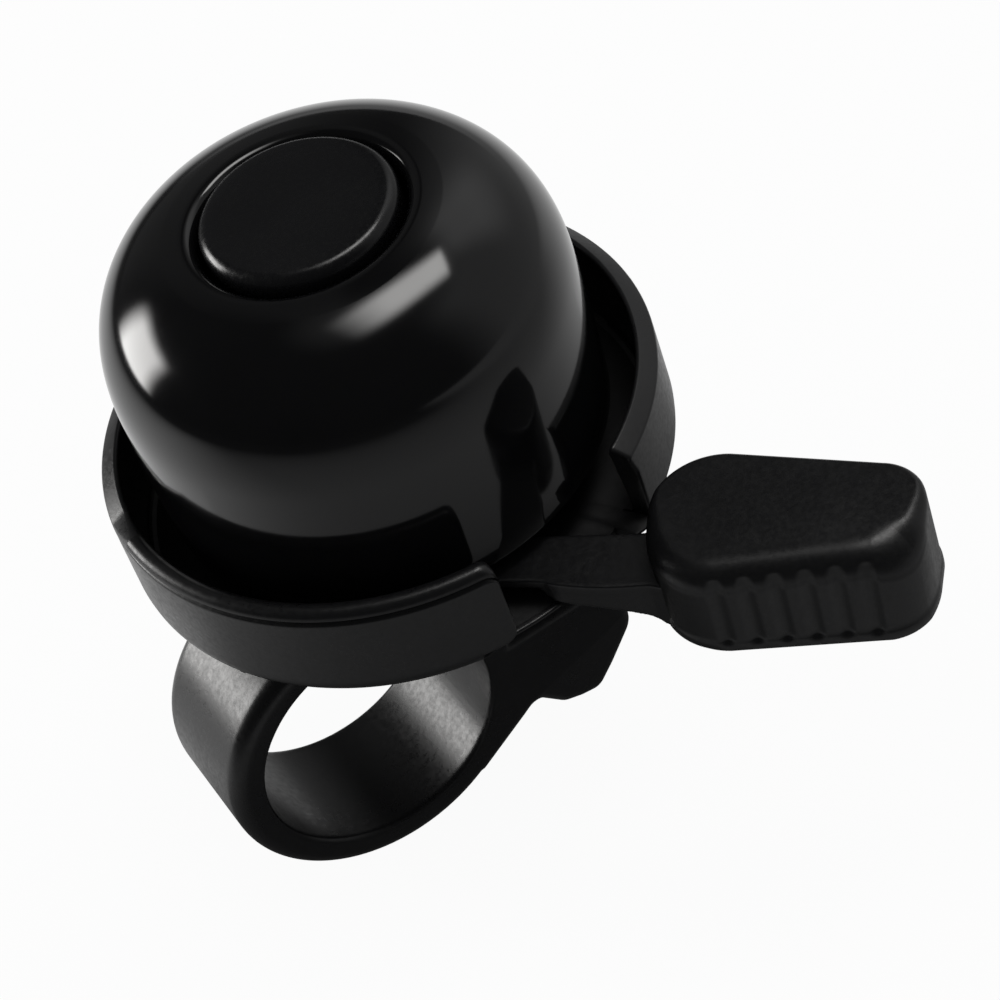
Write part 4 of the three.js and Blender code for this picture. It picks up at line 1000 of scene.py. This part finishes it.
def mixed(tree, share, first, second):
    return add_node(tree, "ShaderNodeMixShader", {0: share, 1: first, 2: second}).outputs["Shader"]


def seen_plainly(tree):
    """Two numbers: 1 for rays from the camera, and 1 for rays off gloss and through glass."""
    path = add_node(tree, "ShaderNodeLightPath", {})
    gloss = combined(tree, "MAXIMUM", path.outputs["Is Glossy Ray"], path.outputs["Is Transmission Ray"])
    return path.outputs["Is Camera Ray"], gloss


def make_floor():
    """The floor, just under the strap. From below it can be seen through."""
    z = -STRAP_RADIUS * MM - 0.0001
    mesh = bpy.data.meshes.new("floor")
    corners = [(x * FLOOR_HALF, y * FLOOR_HALF, z) for x, y in ((-1, -1), (1, -1), (1, 1), (-1, 1))]
    mesh.from_pydata(corners, [], [(0, 1, 2, 3)])
    floor = place_object("studio_floor", mesh)
    material = bpy.data.materials.new("floor")
    tree, out = fresh_tree(material, "ShaderNodeOutputMaterial")
    plain = add_node(tree, "ShaderNodeBsdfDiffuse", {"Color": (FLOOR_TONE, FLOOR_TONE, FLOOR_TONE, 1)})
    camera_ray, gloss_ray = seen_plainly(tree)
    # In the gloss the floor shows painted light and shade: painted light behind the bell, a painted shadow just in
    # front of it, and a dim fade into the distance that is brighter to the right.
    place = add_node(tree, "ShaderNodeTexCoord", {}).outputs["Object"]
    axes = add_node(tree, "ShaderNodeSeparateXYZ", {"Vector": place}).outputs
    reach = distance(tree, place, (BELL[0] * MM, 0.05, 0.0))
    close = distance(tree, place, (BELL[0] * MM, 0.0, 0.0))
    level = lit(tree, axes["Y"], -0.06, 0.07, *FLOOR_PAINTED_GLOSS)
    fade = lit(tree, reach, 0.09, 0.5)
    far = combined(tree, "MULTIPLY", fade, lit(tree, axes["X"], 0.02, 0.3, 0.04, 0.34))
    level = combined(tree, "MULTIPLY", level, combined(tree, "SUBTRACT", 1.0, fade))
    # Painted shadow: the floor's gloss drops to 0.12 close to the bell on its front side.
    painted_shadow_mask = combined(tree, "MAXIMUM", lit(tree, close, 0.03, 0.08, 0.12, 1.0), lit(tree, axes["Y"], 0.0, 0.02))
    level = combined(tree, "ADD", combined(tree, "MULTIPLY", level, painted_shadow_mask), far)
    seen = mixed(tree, combined(tree, "MULTIPLY", camera_ray, FLOOR_SHARE), plain.outputs["BSDF"], shining(tree, 1.0))
    mix = mixed(tree, gloss_ray, seen, shining(tree, level))
    clear = add_node(tree, "ShaderNodeBsdfTransparent", {})
    side = add_node(tree, "ShaderNodeNewGeometry", {})
    under = mixed(tree, side.outputs["Backfacing"], mix, clear.outputs["BSDF"])
    tree.links.new(under, out.inputs["Surface"])
    mesh.materials.append(material)


def make_world():
    world = bpy.data.worlds.new("studio")
    bpy.context.scene.world = world
    tree, out = fresh_tree(world, "ShaderNodeOutputWorld")
    white = add_node(tree, "ShaderNodeBackground", {"Color": WHITE})
    fill = add_node(tree, "ShaderNodeBackground", {"Color": FILL_COLOR, "Strength": FILL})
    seen = combined(tree, "MAXIMUM", *seen_plainly(tree))
    background = mixed(tree, seen, fill.outputs["Background"], white.outputs["Background"])
    tree.links.new(background, out.inputs["Surface"])


def make_lamp(name, spot, aim, spin, size_x, size_y, radiance, fades):
    """A soft box whose light fades towards its four edges: left, right, low and high."""
    data = bpy.data.lights.new(name, "AREA")
    data.shape = "RECTANGLE"
    data.size = size_x
    data.size_y = size_y
    data.energy = radiance * math.pi * size_x * size_y
    data.color = LAMP_COLOR
    tree, out = fresh_tree(data, "ShaderNodeOutputLight")
    spots = add_node(tree, "ShaderNodeNewGeometry", {}).outputs["Parametric"]
    axes = add_node(tree, "ShaderNodeSeparateXYZ", {"Vector": spots}).outputs
    left, right, low, high = fades
    level = combined(tree, "MULTIPLY", lit(tree, axes["X"], 0.0, left), lit(tree, axes["X"], 1.0, 1.0 - right))
    level = combined(tree, "MULTIPLY", level, lit(tree, axes["Y"], 0.0, low))
    level = combined(tree, "MULTIPLY", level, lit(tree, axes["Y"], 1.0, 1.0 - high))
    tree.links.new(shining(tree, level), out.inputs["Surface"])
    lamp = place_object(name, data)
    facing = (Vector(aim) - Vector(spot)).to_track_quat("-Z", "Y").to_matrix().to_4x4()
    lamp.matrix_world = moved(*spot) @ facing @ turned(spin)


def step(value, low, high):
    t = min(1.0, max(0.0, (value - low) / (high - low)))
    return t * t * (3 - 2 * t)


def wall_glow(direction):
    """How bright the room is in one direction, as the gloss sees it."""
    x, y, z = direction
    turn = math.degrees(math.atan2(x, -y))
    rise = math.degrees(math.asin(max(-1.0, min(1.0, z))))
    right = step(turn, 25.0, 60.0) * (1 - step(turn, 122.0, 150.0)) * (1 - step(rise, 45.0, 68.0))
    corner = step(turn, 85.0, 105.0) * (1 - step(turn, 118.0, 135.0))
    corner = corner * step(rise, 8.0, 36.0) * (1 - step(rise, 48.0, 60.0))
    back = step(abs(turn), 150.0, 170.0) * (1 - step(rise, 70.0, 85.0))
    top = step(rise, 70.0, 86.0)
    return WALL_DARK + WALL_RIGHT * right + WALL_CORNER * corner + WALL_BACK * back + WALL_TOP * top


def make_walls():
    """The room's walls and ceiling, dim and uneven, that only the gloss sees."""
    radius, steps, rows = 2.2, 120, 46
    middle = Vector((BELL[0] * MM, 0.0, 0.04))
    verts, faces, glows = [], [], []
    for k in range(rows):
        rise = math.radians(-1.2 + 91.2 * k / rows)
        for i in range(steps):
            turn = 2 * math.pi * i / steps
            way = (math.cos(rise) * math.cos(turn), math.cos(rise) * math.sin(turn), math.sin(rise))
            verts.append(tuple(middle + Vector(way) * radius))
            glows.append(wall_glow(way))
    verts.append(tuple(middle + Vector((0, 0, radius))))
    glows.append(wall_glow((0.0, 0.0, 1.0)))
    for k in range(rows):
        for i in range(steps):
            a, b = k * steps + i, k * steps + (i + 1) % steps
            faces.append((a, b, b + steps, a + steps) if k < rows - 1 else (a, b, len(verts) - 1))
    mesh = bpy.data.meshes.new("walls")
    mesh.from_pydata(verts, [], faces)
    mesh.attributes.new("glow", "FLOAT", "POINT").data.foreach_set("value", glows)
    walls = place_object("studio_walls", mesh)
    material = bpy.data.materials.new("walls")
    tree, out = fresh_tree(material, "ShaderNodeOutputMaterial")
    glow = add_node(tree, "ShaderNodeAttribute", {}, attribute_name="glow").outputs["Fac"]
    tree.links.new(shining(tree, glow), out.inputs["Surface"])
    mesh.materials.append(material)
    walls.visible_camera = False
    walls.visible_diffuse = False
    walls.visible_shadow = False
    walls.visible_transmission = False


make_floor()
make_world()
make_walls()
# The strip hangs level above the bell, turned 10 degrees. The window is low, behind the bell on its left.
make_lamp("strip", (0.334, -0.075, 1.06), (0.334, -0.075, 0.0), 10.0, 0.86, 0.44, 7.5, (0.45, 0.06, 0.4, 0.3))
make_lamp("window", (-0.67, 0.69, 0.27), (0.012, 0.0, 0.04), 0.0, 0.6, 0.56, 10.5, (0.3, 0.3, 0.1, 0.3))

bpy.context.scene.view_settings.view_transform = "Standard"
